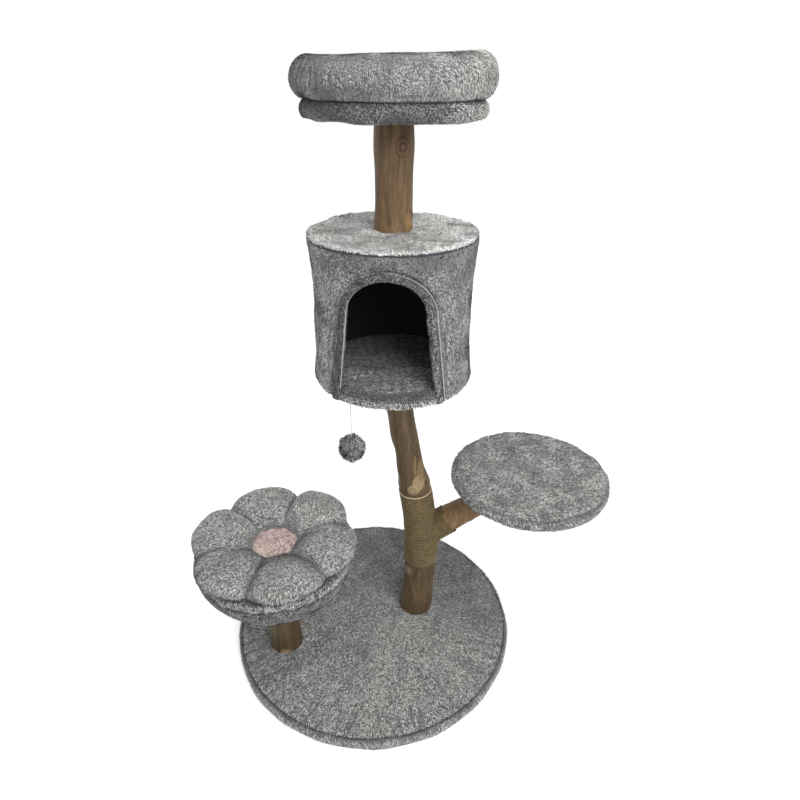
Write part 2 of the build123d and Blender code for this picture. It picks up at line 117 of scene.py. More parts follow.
def patches(points, seed, length, low, high):
    """Soft random patches, from 0 to 1: 0 where the waves are under low, 1 where they are over high."""
    return smooth(Waves(seed, length)(points), low, high)


def crumple(points, seed, length):
    """Smooth random pushes in all three directions."""
    return np.stack([Waves(seed + i, length)(points) for i in range(3)], 1)


def deepest(*depths):
    return np.maximum.reduce(depths)


def polar(points, centre=(0.0, 0.0)):
    """Distance and bearing of points from an upright axis."""
    x, y = points[:, 0] - centre[0], points[:, 1] - centre[1]
    return np.hypot(x, y), np.arctan2(y, x)


def bearings(count):
    return np.arange(count) / count * TAU


def around(r, angle, z, centre=(0.0, 0.0)):
    """Points at a distance, bearing and height round an upright axis."""
    return np.stack([centre[0] + r * np.cos(angle), centre[1] + r * np.sin(angle), z + 0 * angle], -1)


# ---- meshes ----


def link(name, data):
    """A new object of the scene."""
    ob = bpy.data.objects.new(name, data)
    bpy.context.scene.collection.objects.link(ob)
    return ob


def soften(mesh):
    """Shades all the faces smooth."""
    mesh.polygons.foreach_set("use_smooth", np.ones(len(mesh.polygons), bool))
    mesh.update()


def set_points(mesh, points):
    mesh.vertices.foreach_set("co", points.ravel())
    mesh.update()


def new_mesh(name, verts, faces, uvs=None):
    mesh = bpy.data.meshes.new(name)
    mesh.from_pydata([tuple(v) for v in verts], [], faces)
    if uvs is not None:
        layer = mesh.uv_layers.new(name="UVMap")
        loops = np.zeros(len(mesh.loops), np.int32)
        mesh.loops.foreach_get("vertex_index", loops)
        layer.data.foreach_set("uv", np.asarray(uvs, np.float32)[loops].ravel())
    soften(mesh)
    return link(name, mesh)


@contextmanager
def edited(ob):
    """Opens an object's mesh for bmesh operations, and writes it back."""
    bm = bmesh.new()
    bm.from_mesh(ob.data)
    yield bm
    bm.to_mesh(ob.data)
    bm.free()


def tidy_mesh(ob, apart=2e-5):
    """Welds doubled points, such as a lathe's pole, and turns all the faces outward."""
    with edited(ob) as bm:
        bmesh.ops.remove_doubles(bm, verts=bm.verts, dist=apart)
        bmesh.ops.recalc_face_normals(bm, faces=bm.faces)
    return ob


def grid_faces(rows, columns, close_rows=False, close_columns=True):
    faces = []
    for i in range(rows if close_rows else rows - 1):
        for j in range(columns if close_columns else columns - 1):
            a, b = i, (i + 1) % rows
            c, d = j, (j + 1) % columns
            faces.append((a * columns + c, a * columns + d, b * columns + d, b * columns + c))
    return faces


def caps(rows, columns, sides=None):
    """The two faces that close a grid at its first and last rows."""
    sides = sides or columns
    return [tuple(range(sides))[::-1], tuple((rows - 1) * columns + j for j in range(sides))]


def coordinates(mesh, what="co"):
    """The mesh's points, or their normals, as an array."""
    out = np.zeros(len(mesh.vertices) * 3)
    mesh.vertices.foreach_get(what, out)
    return out.reshape(-1, 3)


def settle(ob):
    """Applies an object's modifiers."""
    made = bpy.data.meshes.new_from_object(ob.evaluated_get(bpy.context.evaluated_depsgraph_get()))
    ob.modifiers.clear()
    ob.data = made


PRESSURE = 4.0
FRAMES = 20  # how long the cloth is left to swell


def stuff(ob, held, cap, voxel=0.005):
    """Inflates a skin as cloth: a point stays where held(points) is 1, and moves no further than the cap."""
    remesh = ob.modifiers.new("remesh", "REMESH")
    remesh.mode = "VOXEL"
    remesh.voxel_size = voxel
    settle(ob)
    before = coordinates(ob.data)
    group = ob.vertex_groups.new(name="held")
    for i, weight in enumerate(held(before)):
        group.add([i], float(weight), "REPLACE")
    cloth = ob.modifiers.new("cloth", "CLOTH")
    cloth.settings.vertex_group_mass = group.name
    cloth.settings.use_pressure = True
    cloth.settings.uniform_pressure_force = PRESSURE
    cloth.settings.effector_weights.gravity = 0
    cloth.settings.quality = 4
    cloth.settings.bending_stiffness = 0.3
    cloth.point_cache.frame_end = FRAMES
    scene = bpy.context.scene
    for frame_number in range(1, FRAMES + 1):
        scene.frame_set(frame_number)
    evaluated = ob.evaluated_get(bpy.context.evaluated_depsgraph_get())
    step = coordinates(evaluated.to_mesh()) - before
    evaluated.to_mesh_clear()
    far = np.linalg.norm(step, axis=1)[:, None] + 1e-9
    ob.modifiers.clear()
    ob.vertex_groups.clear()
    set_points(ob.data, before + step * np.minimum(1, cap / far))
    scene.frame_set(1)
    ob.modifiers.new("fine", "SUBSURF").levels = 1
    settle(ob)
    soften(ob.data)
    return ob


def curve_through(points, step):
    """Points about a step apart on a smooth line through the given ones. A doubled point stays sharp."""
    points = np.asarray(points, float)
    out = []
    for i in range(len(points) - 1):
        a, b = points[i], points[i + 1]
        gap = np.linalg.norm(b - a)
        if gap < 1e-9:
            continue
        before = points[i - 1] if i else a
        after = points[i + 2] if i + 2 < len(points) else b
        n = max(1, round(gap / step))
        for t in np.arange(n) / n:
            m0, m1 = (b - before) / 2, (after - a) / 2
            t2, t3 = t * t, t * t * t
            ends = (2 * t3 - 3 * t2 + 1) * a + (t3 - 2 * t2 + t) * m0
            out.append(ends + (3 * t2 - 2 * t3) * b + (t3 - t2) * m1)
    out.append(points[-1])
    return np.array(out)


def lathe(name, centre, profile, step=0.004, segments=240, shape=None, closed=False):
    """Turns a profile of (radius, height) about a vertical axis. shape moves the points afterwards."""
    line = curve_through(profile, step)
    if closed:
        line = line[:-1]
    r, a = np.meshgrid(line[:, 0], bearings(segments), indexing="ij")
    points = around(r, a, line[:, 1][:, None]).reshape(-1, 3)
    if shape:
        points = shape(points)
    points += (centre[0], centre[1], 0)
    return tidy_mesh(new_mesh(name, points, grid_faces(len(line), segments, close_rows=closed)))


def rim(r, *runs):
    """A profile's points: each run is a height, and then steps out from r and up from that height."""
    return [(r + out, height + up) for height, *steps in runs for out, up in steps]


def sweep(name, path, section, closed_path=False, up=None, scale=None):
    """Carries a closed section of (across, out) points along a path of points."""
    path = np.asarray(path, float)
    n, m = len(path), len(section)
    ahead = np.roll(path, -1, 0) - np.roll(path, 1, 0)
    if not closed_path:
        ahead[0], ahead[-1] = path[1] - path[0], path[-1] - path[-2]
    ahead /= np.linalg.norm(ahead, axis=1)[:, None]
    out = np.asarray(up if up is not None else [(0.0, 0.0, 1.0)] * n, float)
    out = out - (out * ahead).sum(1)[:, None] * ahead
    out /= np.linalg.norm(out, axis=1)[:, None]
    across = np.cross(ahead, out)
    size = np.ones(n) if scale is None else np.asarray(scale)
    points, uvs = [], []
    run = np.concatenate([[0], np.cumsum(np.linalg.norm(np.diff(path, axis=0), axis=1))])
    for j, (s, o) in enumerate(section):
        points.append(path + (across * s + out * o) * size[:, None])
        uvs.append(np.stack([np.full(n, j / m), run], 1))
    points = np.stack(points, 1).reshape(-1, 3)
    uvs = np.stack(uvs, 1).reshape(-1, 2)
    ends = [] if closed_path else caps(n, m)
    return new_mesh(name, points, grid_faces(n, m, close_rows=closed_path) + ends, uvs)


def soft_cover(top_z, drop, top_waves, reach=1.0, start=1.0, edge_waves=()):
    """A shape for lathe(): waves on the flat top, and an edge that isn't quite round.

    The top's waves begin drop[0] under it and are full drop[1] under it. The edge's begin at start * reach.
    """

    def shape(points):
        out = points.copy()
        out[:, 2] += ripple(points, *top_waves) * smooth(points[:, 2], top_z - drop[0], top_z - drop[1])
        if edge_waves:
            share = smooth(polar(points)[0], reach * start, reach)
            out[:, :2] *= (1 + ripple(points, *edge_waves) * share)[:, None]
        return out

    return shape


def ring_section(rx, ry, count):
    return [(rx * math.cos(TAU * i / count), ry * math.sin(TAU * i / count)) for i in range(count)]


# ---- materials ----


class Shader:
    """A material being built: node() adds a node, with plain values or other nodes' outputs as inputs."""

    def __init__(self, name):
        self.material = bpy.data.materials.new(name)
        self.material.use_nodes = True
        self.tree = self.material.node_tree
        self.tree.nodes.clear()
        self.output = self.tree.nodes.new("ShaderNodeOutputMaterial")

    def node(self, kind, out=0, settings=None, **inputs):
        made = self.tree.nodes.new("ShaderNode" + kind)
        for key, value in (settings or {}).items():
            setattr(made, key, value)
        for key, value in inputs.items():
            numbered = key[0] == "i" and key[1:].isdigit()
            self.plug(made.inputs[int(key[1:]) if numbered else key.replace("_", " ")], value)
        return made.outputs[out]

    def plug(self, socket, value):
        """Links another node's output to a socket, or sets the socket's own value."""
        if isinstance(value, bpy.types.NodeSocket):
            self.tree.links.new(value, socket)
        else:
            socket.default_value = value

    def math(self, operation, a, b=0.0):
        return self.node("Math", settings={"operation": operation}, i0=a, i1=b)

    def vector(self, operation, a, b=None, out=0, **more):
        if b is not None:
            more["i1"] = b
        return self.node("VectorMath", out=out, settings={"operation": operation}, i0=a, **more)

    def swayed(self, value, noise, amount):
        """A value, pushed up and down by a noise."""
        return self.math("ADD", value, self.math("MULTIPLY", self.math("SUBTRACT", noise, 0.5), amount))

    def mix(self, factor, a, b, blend="MIX"):
        made = self.tree.nodes.new("ShaderNodeMix")
        made.data_type = "RGBA"
        made.blend_type = blend
        for socket, value in zip((made.inputs[0], made.inputs[6], made.inputs[7]), (factor, a, b)):
            self.plug(socket, (*value, 1.0) if isinstance(value, tuple) else value)
        return made.outputs[2]

    def shaded(self, colour, by, share=1.0):
        """A colour multiplied by another."""
        return self.mix(share, colour, by, "MULTIPLY")

    def ramp(self, factor, stops):
        made = self.tree.nodes.new("ShaderNodeValToRGB")
        self.tree.links.new(factor, made.inputs[0])
        elements = made.color_ramp.elements
        while len(elements) < len(stops):
            elements.new(0.5)
        for element, (share, colour) in zip(elements, stops):
            element.position = share
            element.color = (*colour, 1.0) if len(colour) == 3 else colour
        return made.outputs[0]

    def grey_ramp(self, factor, stops):
        return self.ramp(factor, [(share, (value,) * 3) for share, value in stops])

    def noise(self, vector, scale, detail=2.0, roughness=0.5):
        return self.node("TexNoise", Vector=vector, Scale=scale, Detail=detail, Roughness=roughness)

    def stretched(self, vector, scale):
        return self.node("Mapping", Vector=vector, Scale=scale)

    def warped(self, vector, scale, amount):
        """The coordinates, pushed about by a broad noise."""
        push = self.node("TexNoise", out=1, Vector=vector, Scale=scale, Detail=1.0)
        centred = self.vector("SUBTRACT", push, (0.5, 0.5, 0.5))
        return self.vector("ADD", vector, self.vector("SCALE", centred, Scale=amount))

    def surface(self, fallback, **inputs):
        shader = self.tree.nodes.new("ShaderNodeBsdfPrincipled")
        shader.inputs["Base Color"].default_value = (*fallback, 1.0)
        for key, value in inputs.items():
            self.plug(shader.inputs[key.replace("_", " ")], value)
        self.tree.links.new(shader.outputs[0], self.output.inputs[0])
        self.material.diffuse_color = (*fallback, 1.0)
        return self.material


def place(shader):
    return shader.node("TexCoord", out=3)


def tint(grey, warmth):
    """A grey with its red up and its blue down by a share."""
    return (grey * (1 + warmth), grey, grey * (1 - warmth))


def plush_ground(name, dark, mid, light, warmth=0.0):
    """The cloth under the pile, which shows between the strokes."""
    s = Shader(name)
    at = s.warped(place(s), 22.0, 0.02)
    fine = s.noise(at, 420.0, 3.0, 0.7)
    broad = s.noise(place(s), 17.0, 3.0, 0.6)
    colour = s.ramp(fine, [(0.3, tint(dark, warmth)), (0.5, tint(mid, warmth)), (0.72, tint(light, warmth))])
    colour = s.shaded(colour, s.grey_ramp(broad, [(0.3, 0.78), (0.7, 1.1)]))
    bump = s.node("Bump", Height=fine, Strength=0.8, Distance=0.001)
    return s.surface(tint(mid, warmth), Base_Color=colour, Normal=bump, Roughness=0.95, Sheen_Weight=0.25)


def plush_pile(name, dark, mid, light, yellow=0.04, tint_by=(1.0, 1.0, 1.0), drift_by=0.5, tuft_by=0.9):
    """Heather fibres, each with its own grey, in tufts and broad drifts, with painted shade in the cloth's
    folds.
    """
    s = Shader(name)
    own = s.node("NewGeometry", out="Random Per Island")
    at = place(s)
    drift = s.noise(s.warped(at, 9.0, 0.05), 24.0, 3.0, 0.6)
    tufts = s.noise(s.warped(at, 70.0, 0.006), 230.0, 2.0, 0.6)
    pick = s.math("ADD", s.math("MULTIPLY", own, 0.95), 0.03)
    pick = s.swayed(s.swayed(pick, drift, drift_by), tufts, tuft_by)
    colour = s.ramp(pick, [
        (0.02, (dark * 0.94, dark, dark * 1.02)),
        (0.26, ((dark + mid) * 0.49, (dark + mid) * 0.5, (dark + mid) * 0.5)),
        (0.48, (mid, mid * 1.01, mid * (1 - yellow * 0.6))),
        (0.95, (light, light * 1.005, light * (1 - yellow))),
    ])
    hue = s.noise(at, 13.0, 2.0, 0.5)
    colour = s.shaded(colour, s.ramp(hue, [(0.36, (0.99, 0.98, 1.01)), (0.62, (1.0, 1.01, 0.98))]), 0.8)
    colour = s.shaded(colour, tint_by)
    # painted shade: the depth attribute darkens the fibres towards a dark blue grey
    depth = s.node("Attribute", out=2, settings={"attribute_name": "depth"})
    colour = s.shaded(colour, s.ramp(depth, [(0.0, (1.0, 1.0, 1.0)), (1.0, (0.14, 0.14, 0.17))]))
    more = {"Roughness": 0.85, "Sheen_Weight": 0.15, "Specular_IOR_Level": 0.15}
    return s.surface((mid, mid, mid), Base_Color=colour, **more)


def speckled(name, low, high, scale,
             roughness=0.8, bump=0.3, stretch=(1, 1, 1), detail=4.0, grit=0.65, **more):
    """Two tones in a fine noise, which also makes the surface's bumps."""
    s = Shader(name)
    grain = s.noise(s.stretched(place(s), tuple(scale * v for v in stretch)), 1.0, detail, grit)
    if bump:
        more["Normal"] = s.node("Bump", Height=grain, Strength=bump, Distance=0.0006)
    average = tuple((a + b) / 2 for a, b in zip(low, high))
    tones = s.ramp(grain, [(0.3, low), (0.7, high)])
    return s.surface(average, Base_Color=tones, Roughness=roughness, **more)


# thin things, whose noise needs no bumps
THREAD = {"bump": 0.0, "detail": 2.0, "grit": 0.5}
# near-black tubes laid in the seams' grooves: painted shade
seam_shade_material = speckled("seam_painted_shade", (0.02, 0.02, 0.03), (0.07, 0.07, 0.09), 400, 0.9, **THREAD)
piping_material = speckled("piping_cloth", (0.24, 0.25, 0.26), (0.50, 0.51, 0.51), 900, 0.9, **THREAD)
light_material = speckled("twine_light", (0.27, 0.20, 0.11), (0.50, 0.40, 0.24), 500, 0.85, **THREAD)
CORD_GREYS = ((0.42, 0.42, 0.44), (0.72, 0.72, 0.73))
cord_material = speckled("cord_braid", *CORD_GREYS, 900, 0.8, stretch=(1, 1, 5 / 9), **THREAD)

ground = plush_ground("plush_ground", 0.05, 0.15, 0.36, warmth=0.02)
pile_grey = plush_pile("plush_pile", 0.045, 0.37, 0.76)
# a paler copy of the plush for the roof: painted light, for the light on the cabin's top and the sheen of its
# nap seen at a low angle
ground_painted_light = plush_ground("plush_ground_painted_light", 0.30, 0.52, 0.74, warmth=0.02)
pile_painted_light = plush_pile("plush_pile_painted_light", 0.16, 0.90, 1.0, drift_by=0.35, tuft_by=1.5)
pile_cabin = plush_pile("plush_pile_cabin", 0.055, 0.44, 0.84, yellow=0.05)
# lighter than the grey pile and darkened towards the bed's left: partly painted light on its lit right side
pile_bed = plush_pile("plush_pile_bed", 0.12, 0.66, 0.98, yellow=0.05, tint_by=(1.01, 0.995, 0.985))
# a darker copy of the ground cloth under the pile of pieces that lie in shade: painted shade
ground_painted_shade = plush_ground("plush_ground_painted_shade", 0.015, 0.045, 0.11, warmth=0.02)
pile_shaded = plush_pile("plush_pile_shaded", 0.03, 0.20, 0.60)
pink_ground = plush_ground("pink_ground", 0.34, 0.48, 0.58, warmth=0.20)
pink_pile = plush_pile("pink_pile", 0.10, 0.70, 1.0, tint_by=(1.06, 0.80, 0.83), drift_by=1.1, tuft_by=1.9)


# ---- pile ----


FLOW, STRAY = 0.55, 0.22  # how strongly the waves and chance turn a stroke
ROOT_DEPTH = 0.0003  # how far a stroke's root lies under the cloth
LOWEST = 0.0006  # no stroke reaches lower, so that none goes through the floor
SHORTER, FLATTER = 0.45, 0.5  # what strokes lose of their length and rise deep in a fold
LEAN, LEAN_ALONG = 0.24, 0.12  # how far the strokes' shading leans at random and along the nap


def pile(base, material, name, every=3.4e-6, length=0.0062, width=0.0014, lift=0.30, seed=1,
         comb=None, swirl=0.06, keep=None, depth=None):
    """Short flat strokes of fibre over a mesh, one for each patch of the given area, lying along a nap.

    comb(points) is the nap's direction, keep(points) where there is pile, depth(points) how far in a fold and
    in painted shade.
    """
    rng = np.random.default_rng(seed)
    mesh = base.data
    mesh.calc_loop_triangles()
    tris = np.zeros(len(mesh.loop_triangles) * 3, np.int32)
    mesh.loop_triangles.foreach_get("vertices", tris)
    tris = tris.reshape(-1, 3)
    co, normals = coordinates(mesh), coordinates(mesh, "normal")
    a, b, c = (co[tris[:, i]] for i in range(3))
    area = np.linalg.norm(np.cross(b - a, c - a), axis=1) / 2
    count = int(area.sum() / every)
    chosen = rng.choice(len(tris), count, p=area / area.sum())
    u, v = rng.random(count), rng.random(count)
    flip = u + v > 1
    u[flip], v[flip] = 1 - u[flip], 1 - v[flip]
    weights = np.stack([1 - u - v, u, v], 1)[..., None]
    root = (co[tris[chosen]] * weights).sum(1)
    out = (normals[tris[chosen]] * weights).sum(1)
    if keep is not None:
        kept = keep(root)
        root, out = root[kept], out[kept]
    out /= np.linalg.norm(out, axis=1)[:, None] + 1e-12
    count = len(root)
    flow = crumple(root, seed * 7, swirl) * FLOW
    flow += rng.normal(size=(count, 3)) * STRAY
    if comb is not None:
        flow += comb(root)
    flow -= (flow * out).sum(1)[:, None] * out
    flow /= np.linalg.norm(flow, axis=1)[:, None] + 1e-12
    side = np.cross(out, flow)
    sunk = np.zeros(count) if depth is None else np.clip(depth(root), 0, 1)
    long = length * (rng.uniform(0.6, 1.25, count) * (1 - SHORTER * sunk))[:, None]
    rise = long * lift * rng.uniform(0.5, 1.5, count)[:, None] * (1 - FLATTER * sunk)[:, None]
    wide = width * rng.uniform(0.6, 1.3, count)[:, None] / 2
    start = root - out * ROOT_DEPTH
    mid = root + flow * long * 0.5 + out * rise * 0.7
    tip = root + flow * long + out * rise
    corners = np.stack([start, mid - side * wide, tip, mid + side * wide], 1).reshape(-1, 3)
    corners[:, 2] = np.maximum(corners[:, 2], LOWEST)
    made = bpy.data.meshes.new(name)
    made.vertices.add(count * 4)
    made.vertices.foreach_set("co", corners.ravel())
    made.loops.add(count * 4)
    made.loops.foreach_set("vertex_index", np.arange(count * 4, dtype=np.int32))
    made.polygons.add(count)
    made.polygons.foreach_set("loop_start", np.arange(0, count * 4, 4, dtype=np.int32))
    made.polygons.foreach_set("use_smooth", np.ones(count, bool))
    made.update(calc_edges=True)
    # the depth attribute carries the painted shade to the pile's material
    depths = made.attributes.new("depth", "FLOAT", "POINT")
    depths.data.foreach_set("value", np.repeat(sunk, 4).astype(np.float32))
    lean = out + rng.normal(size=(count, 3)) * LEAN + flow * LEAN_ALONG
    lean /= np.linalg.norm(lean, axis=1)[:, None]
    made.normals_split_custom_set_from_vertices(np.repeat(lean, 4, 0).astype(np.float32))
    made.materials.append(material)
    return link(name, made)


def dress(ob, material, body="tree", stands_for=()):
    """Gives a piece its material and its body, and says which nodes it stands for."""
    ob.data.materials.clear()
    ob.data.materials.append(material)
    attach(ob, body)
    if stands_for:
        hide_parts(*stands_for)
    return ob


def plush(ob, name, material=pile_grey, body="tree", slot="grey_plush", under=ground, stands_for=(), **look):
    """Gives a mesh its cloth and its pile."""
    dress(ob, under, body, stands_for)
    fur = pile(ob, material, name, **look)
    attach(fur, body)
    return fur


# ---- base ----
base_r, base_top = radius("base_cover"), top("base_cover")
base_foot = bottom("base_cover")
draw = np.random.default_rng(11).uniform
CREASES = [  # bearing, radius of the inner end, depth, bend and width of each
    (draw(0, TAU), draw(0.60, 0.93), draw(0.3, 1.0), draw(-1.6, 1.6), draw(0.0018, 0.0036)) for _ in range(95)
]
CREASE_DEPTH, DIMPLE_DEPTH = 0.0034, 0.0030
DIMPLE_AT = (-0.02, -0.1)


def folds(points):
    """How deep, from 0 to 1, a point lies in the short creases that run in from the base's rim."""
    r, angle = polar(points)
    deep = np.zeros(len(points))
    for at, inner, depth, bend, width in CREASES:
        off = turned(angle - at - bend * (r - base_r))
        run = smooth(r, inner * base_r, (inner + 0.06) * base_r)
        run = run * (1 - smooth(r, base_r * 0.975, base_r * 0.99))
        deep = np.maximum(deep, depth * near(off * r, width) * run)
    return deep


def dimpled(points, width):
    """1 in the middle of the dimple in the base's front, falling away over a width."""
    return near(polar(points, DIMPLE_AT)[0], width)


base_drop = (0.006, 0.002)
base_cloth = soft_cover(
    base_top, base_drop, ((0.0012, 21, 0.11), (0.0008, 22, 0.035)), base_r, 0.9, ((0.0035, 5, 0.09),)
)


def base_shape(points):
    """The cloth over the board, with the dimple and the creases pressed in."""
    out = base_cloth(points)
    flat = smooth(points[:, 2], base_top - base_drop[0], base_top - base_drop[1])
    out[:, 2] -= (DIMPLE_DEPTH * dimpled(points, 0.03) + CREASE_DEPTH * folds(points)) * flat
    return out


base = lathe("base_plush", (0, 0), rim(
    base_r, (base_foot, (-0.0035, 0.0005), (-0.001, 0.002), (0.0005, 0.010)),
    (base_top, (-0.0005, -0.006), (-0.0045, -0.0022), (-0.0062, -0.0042), (-0.0085, -0.0008),
     (-0.016, 0.0006), (-0.05, 0.0)),
) + [(0.1, base_top), (0.0, base_top)], segments=360, shape=base_shape)


def base_comb(points):
    """The nap runs outward on the top and downward on the side."""
    r = polar(points)[0] + 1e-6
    side = smooth(r, base_r - 0.006, base_r - 0.003)
    return np.stack([0.4 * points[:, 0] / r, 0.4 * points[:, 1] / r - 0.5, -1.6 * side], 1)


SEAM_IN = 0.0062


def base_depth(points):
    """Painted shade in the creases and rim seam, less in the dimple and worn nap, and a painted shadow
    behind.
    """
    r = polar(points)[0]
    on_top = points[:, 2] > base_top - 0.007
    seam = 0.95 * near(r - base_r + SEAM_IN, 0.0034) * on_top
    dimple = 0.5 * dimpled(points, 0.018)
    # painted shadow of the cabin and perch, darker towards the back right of the base
    painted_shadow_behind = 0.32 * smooth(points[:, 1] + 0.35 * points[:, 0], -0.03, 0.09)
    worn = 0.30 * patches(points, 25, 0.045, 0.35, 1.2)
    return deepest(seam, dimple, 0.95 * folds(points) * on_top, (painted_shadow_behind + worn) * on_top)


plush(base, "base_pile", seed=2, comb=base_comb, lift=0.25, depth=base_depth, stands_for=["base_cover"])


SEAM_POINTS = 200


def hoop(name, centre, r, z, thick=0.0014, wave=0.0, seed=3):
    """A near-black tube in a sewn seam's groove, round at one height: painted shade."""
    path = around(r, bearings(SEAM_POINTS), z, centre)
    path[:, 2] += wave * Waves(seed, 0.07)(path)
    return dress(sweep(name, path, ring_section(thick, thick, 6), closed_path=True), seam_shade_material)


hoop("base_seam", (0, 0), base_r - 0.0058, base_top - 0.0028, wave=0.0006)

# ---- camera ----
LENS = 27.0
EYE = (0.0576, -0.9833, 1.1404)
LOOKS_DOWN, ROLL = math.radians(28.98), math.radians(0.35)
camera = link("camera", bpy.data.cameras.new("camera"))
camera.data.sensor_width = 36.0
camera.data.lens = LENS
tipped = Matrix.Rotation(math.radians(90) - LOOKS_DOWN, 4, "X")
camera.matrix_world = Matrix.Translation(EYE) @ tipped @ Matrix.Rotation(ROLL, 4, "Z")
bpy.context.scene.camera = camera

# ---- perch ----
perch_at = middle("perch_cover")
perch_r, perch_top, perch_foot = radius("perch_cover"), top("perch_cover"), bottom("perch_cover")
perch_shape = soft_cover(
    perch_top, (0.006, 0.002), ((0.0009, 31, 0.07), (0.00045, 32, 0.03)), perch_r, 0.85, ((0.005, 33, 0.07),)
)
perch = lathe("perch_plush", perch_at, [(0.0, perch_foot), (0.08, perch_foot)] + rim(
    perch_r, (perch_foot, (-0.006, 0.0), (-0.0015, 0.003), (0.0012, 0.011)),
    (perch_top, (0.0, -0.006), (-0.0035, -0.0018), (-0.0048, -0.0036), (-0.007, -0.0004), (-0.014, 0.0010),
     (-0.05, 0.0004)),
) + [(0.0, perch_top)], segments=300, shape=perch_shape)


def perch_comb(points):
    """The nap lies to the front right on the top, and downward on the side."""
    side = smooth(polar(points, perch_at)[0], perch_r - 0.006, perch_r - 0.002)
    return np.stack([0.45 - 0.3 * side, -0.25 + 0 * side, -1.4 * side], 1)


def perch_depth(points):
    """Painted shade deep in the seam, most of all at its front right; darker in patches down the side, and in
    tufts.
    """
    r, bearing = polar(points, perch_at)
    strength = 0.30 + 0.65 * near(bearing + 1.15, 0.85)
    seam = strength * near(r - perch_r + 0.0044, 0.0030) * (points[:, 2] > perch_top - 0.006)
    side = 0.35 * smooth(perch_top - points[:, 2], 0.004, 0.012) * patches(points, 36, 0.02, -0.6, 0.9)
    return deepest(seam, side, 0.35 * patches(points, 35, 0.03, 0.4, 1.0))


plush(perch, "perch_pile", seed=3, comb=perch_comb, depth=perch_depth, stands_for=["perch_cover"])

# ---- cabin ----
cabin_at = middle("cabin_wall")
cabin_foot, cabin_top = bottom("cabin_under_cover"), top("cabin_top_cover")
WALL_R = radius("cabin_wall")
RIM_R = radius("cabin_top_cover")
WAIST_R = RIM_R - 0.007
SLEEVE_TOP = top("cabin_sleeve")
MID_Z = (cabin_foot + cabin_top) / 2
DOOR_TURN = math.radians(-4.0)
DOOR_HALF = 0.0665  # half the doorway's width where its arch springs
DOOR_LEAN = math.tan(math.radians(6.4))
BAND = 0.014  # width of the binding, with its lip
SLEEVE_EDGE = 0.004  # the sleeve ends this far outside the doorway's edge, under the binding
CREASE_SINK, BINDING_SINK = 0.0022, 0.0030  # how deep the upright creases and the one beside the binding are
CLOTH_MIN = 0.0009  # the least that the cloth lies out from the tube
ARCH_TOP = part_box("door_binding")[1].z - BAND
SPRING = ARCH_TOP - DOOR_HALF


def side_radius(z):
    """The cabin's waisted side."""
    t = (np.asarray(z) - MID_Z) / (cabin_top - MID_Z)
    return WAIST_R + (RIM_R - WAIST_R) * np.abs(t) ** 2.0


def door_distance(x, z):
    """How far a point of the unrolled front lies outside the doorway's edge, in metres."""
    beside = np.abs(x) - DOOR_HALF - (SPRING - z) * DOOR_LEAN
    over = np.hypot(x, np.maximum(z - SPRING, 0)) - DOOR_HALF
    return np.where(z > SPRING, over, beside)


def door_place(points):
    """A point's place across the doorway, its height, and its bearing from the doorway's middle."""
    r, bearing = polar(points, cabin_at)
    angle = turned(bearing + math.pi / 2 - DOOR_TURN)
    across = np.where(np.cos(angle) > 0, r * np.sin(angle), 9.0)
    return across, points[:, 2], angle


def on_cabin(x, z, out=0.0, inward=0.0):
    """The point at x across the doorway and height z, out from the cabin's side or straight in from it."""
    r = side_radius(z)
    flat = np.clip(np.asarray(x) / r, -0.999, 0.999)
    angle = np.arcsin(flat) - math.pi / 2 + DOOR_TURN
    straight_in = np.array((-math.sin(DOOR_TURN), math.cos(DOOR_TURN), 0.0))
    return around(r + out, angle, z, cabin_at) + inward * straight_in


SIDE_CREASES = [  # bearing from the door's middle, lower and upper end, width, sway
    (0.72, 0.665, 0.815, 0.0026, 0.045), (0.82, 0.69, 0.86, 0.0034, -0.05), (0.93, 0.66, 0.80, 0.0028, 0.06),
    (0.99, 0.74, 0.87, 0.0026, 0.03), (1.12, 0.68, 0.85, 0.0034, -0.05), (1.3, 0.70, 0.84, 0.003, 0.03),
    (-0.78, 0.66, 0.80, 0.0030, -0.03), (-1.1, 0.70, 0.84, 0.0024, 0.04), (2.2, 0.68, 0.84, 0.003, 0.05),
    (3.0, 0.70, 0.86, 0.003, -0.05), (-2.1, 0.67, 0.82, 0.0028, 0.06),
]


def side_folds(points):
    """How deep, from 0 to 1, a point of the cabin's side lies in its long upright creases."""
    z, angle = door_place(points)[1:]
    deep = np.zeros(len(points))
    for at, low, high, width, sway in SIDE_CREASES:
        middle_line = at + sway * np.sin((z - low) / (high - low) * 5.0)
        off = turned(angle - middle_line) * RIM_R
        run = smooth(z, low, low + 0.03) * (1 - smooth(z, high - 0.03, high))
        deep = np.maximum(deep, near(off, width) * run)
    return deep


def beside_binding(points):
    """How deep a point lies in the crease along the binding's outer edge. It fades over the arch's left."""
    across, z = door_place(points)[:2]
    away = door_distance(across, z)
    strength = np.where(across < 0, 0.55 + 0.45 * smooth(SPRING - z, 0.0, 0.05), 0.85)
    return strength * near(away - BAND - 0.0015, 0.0036)


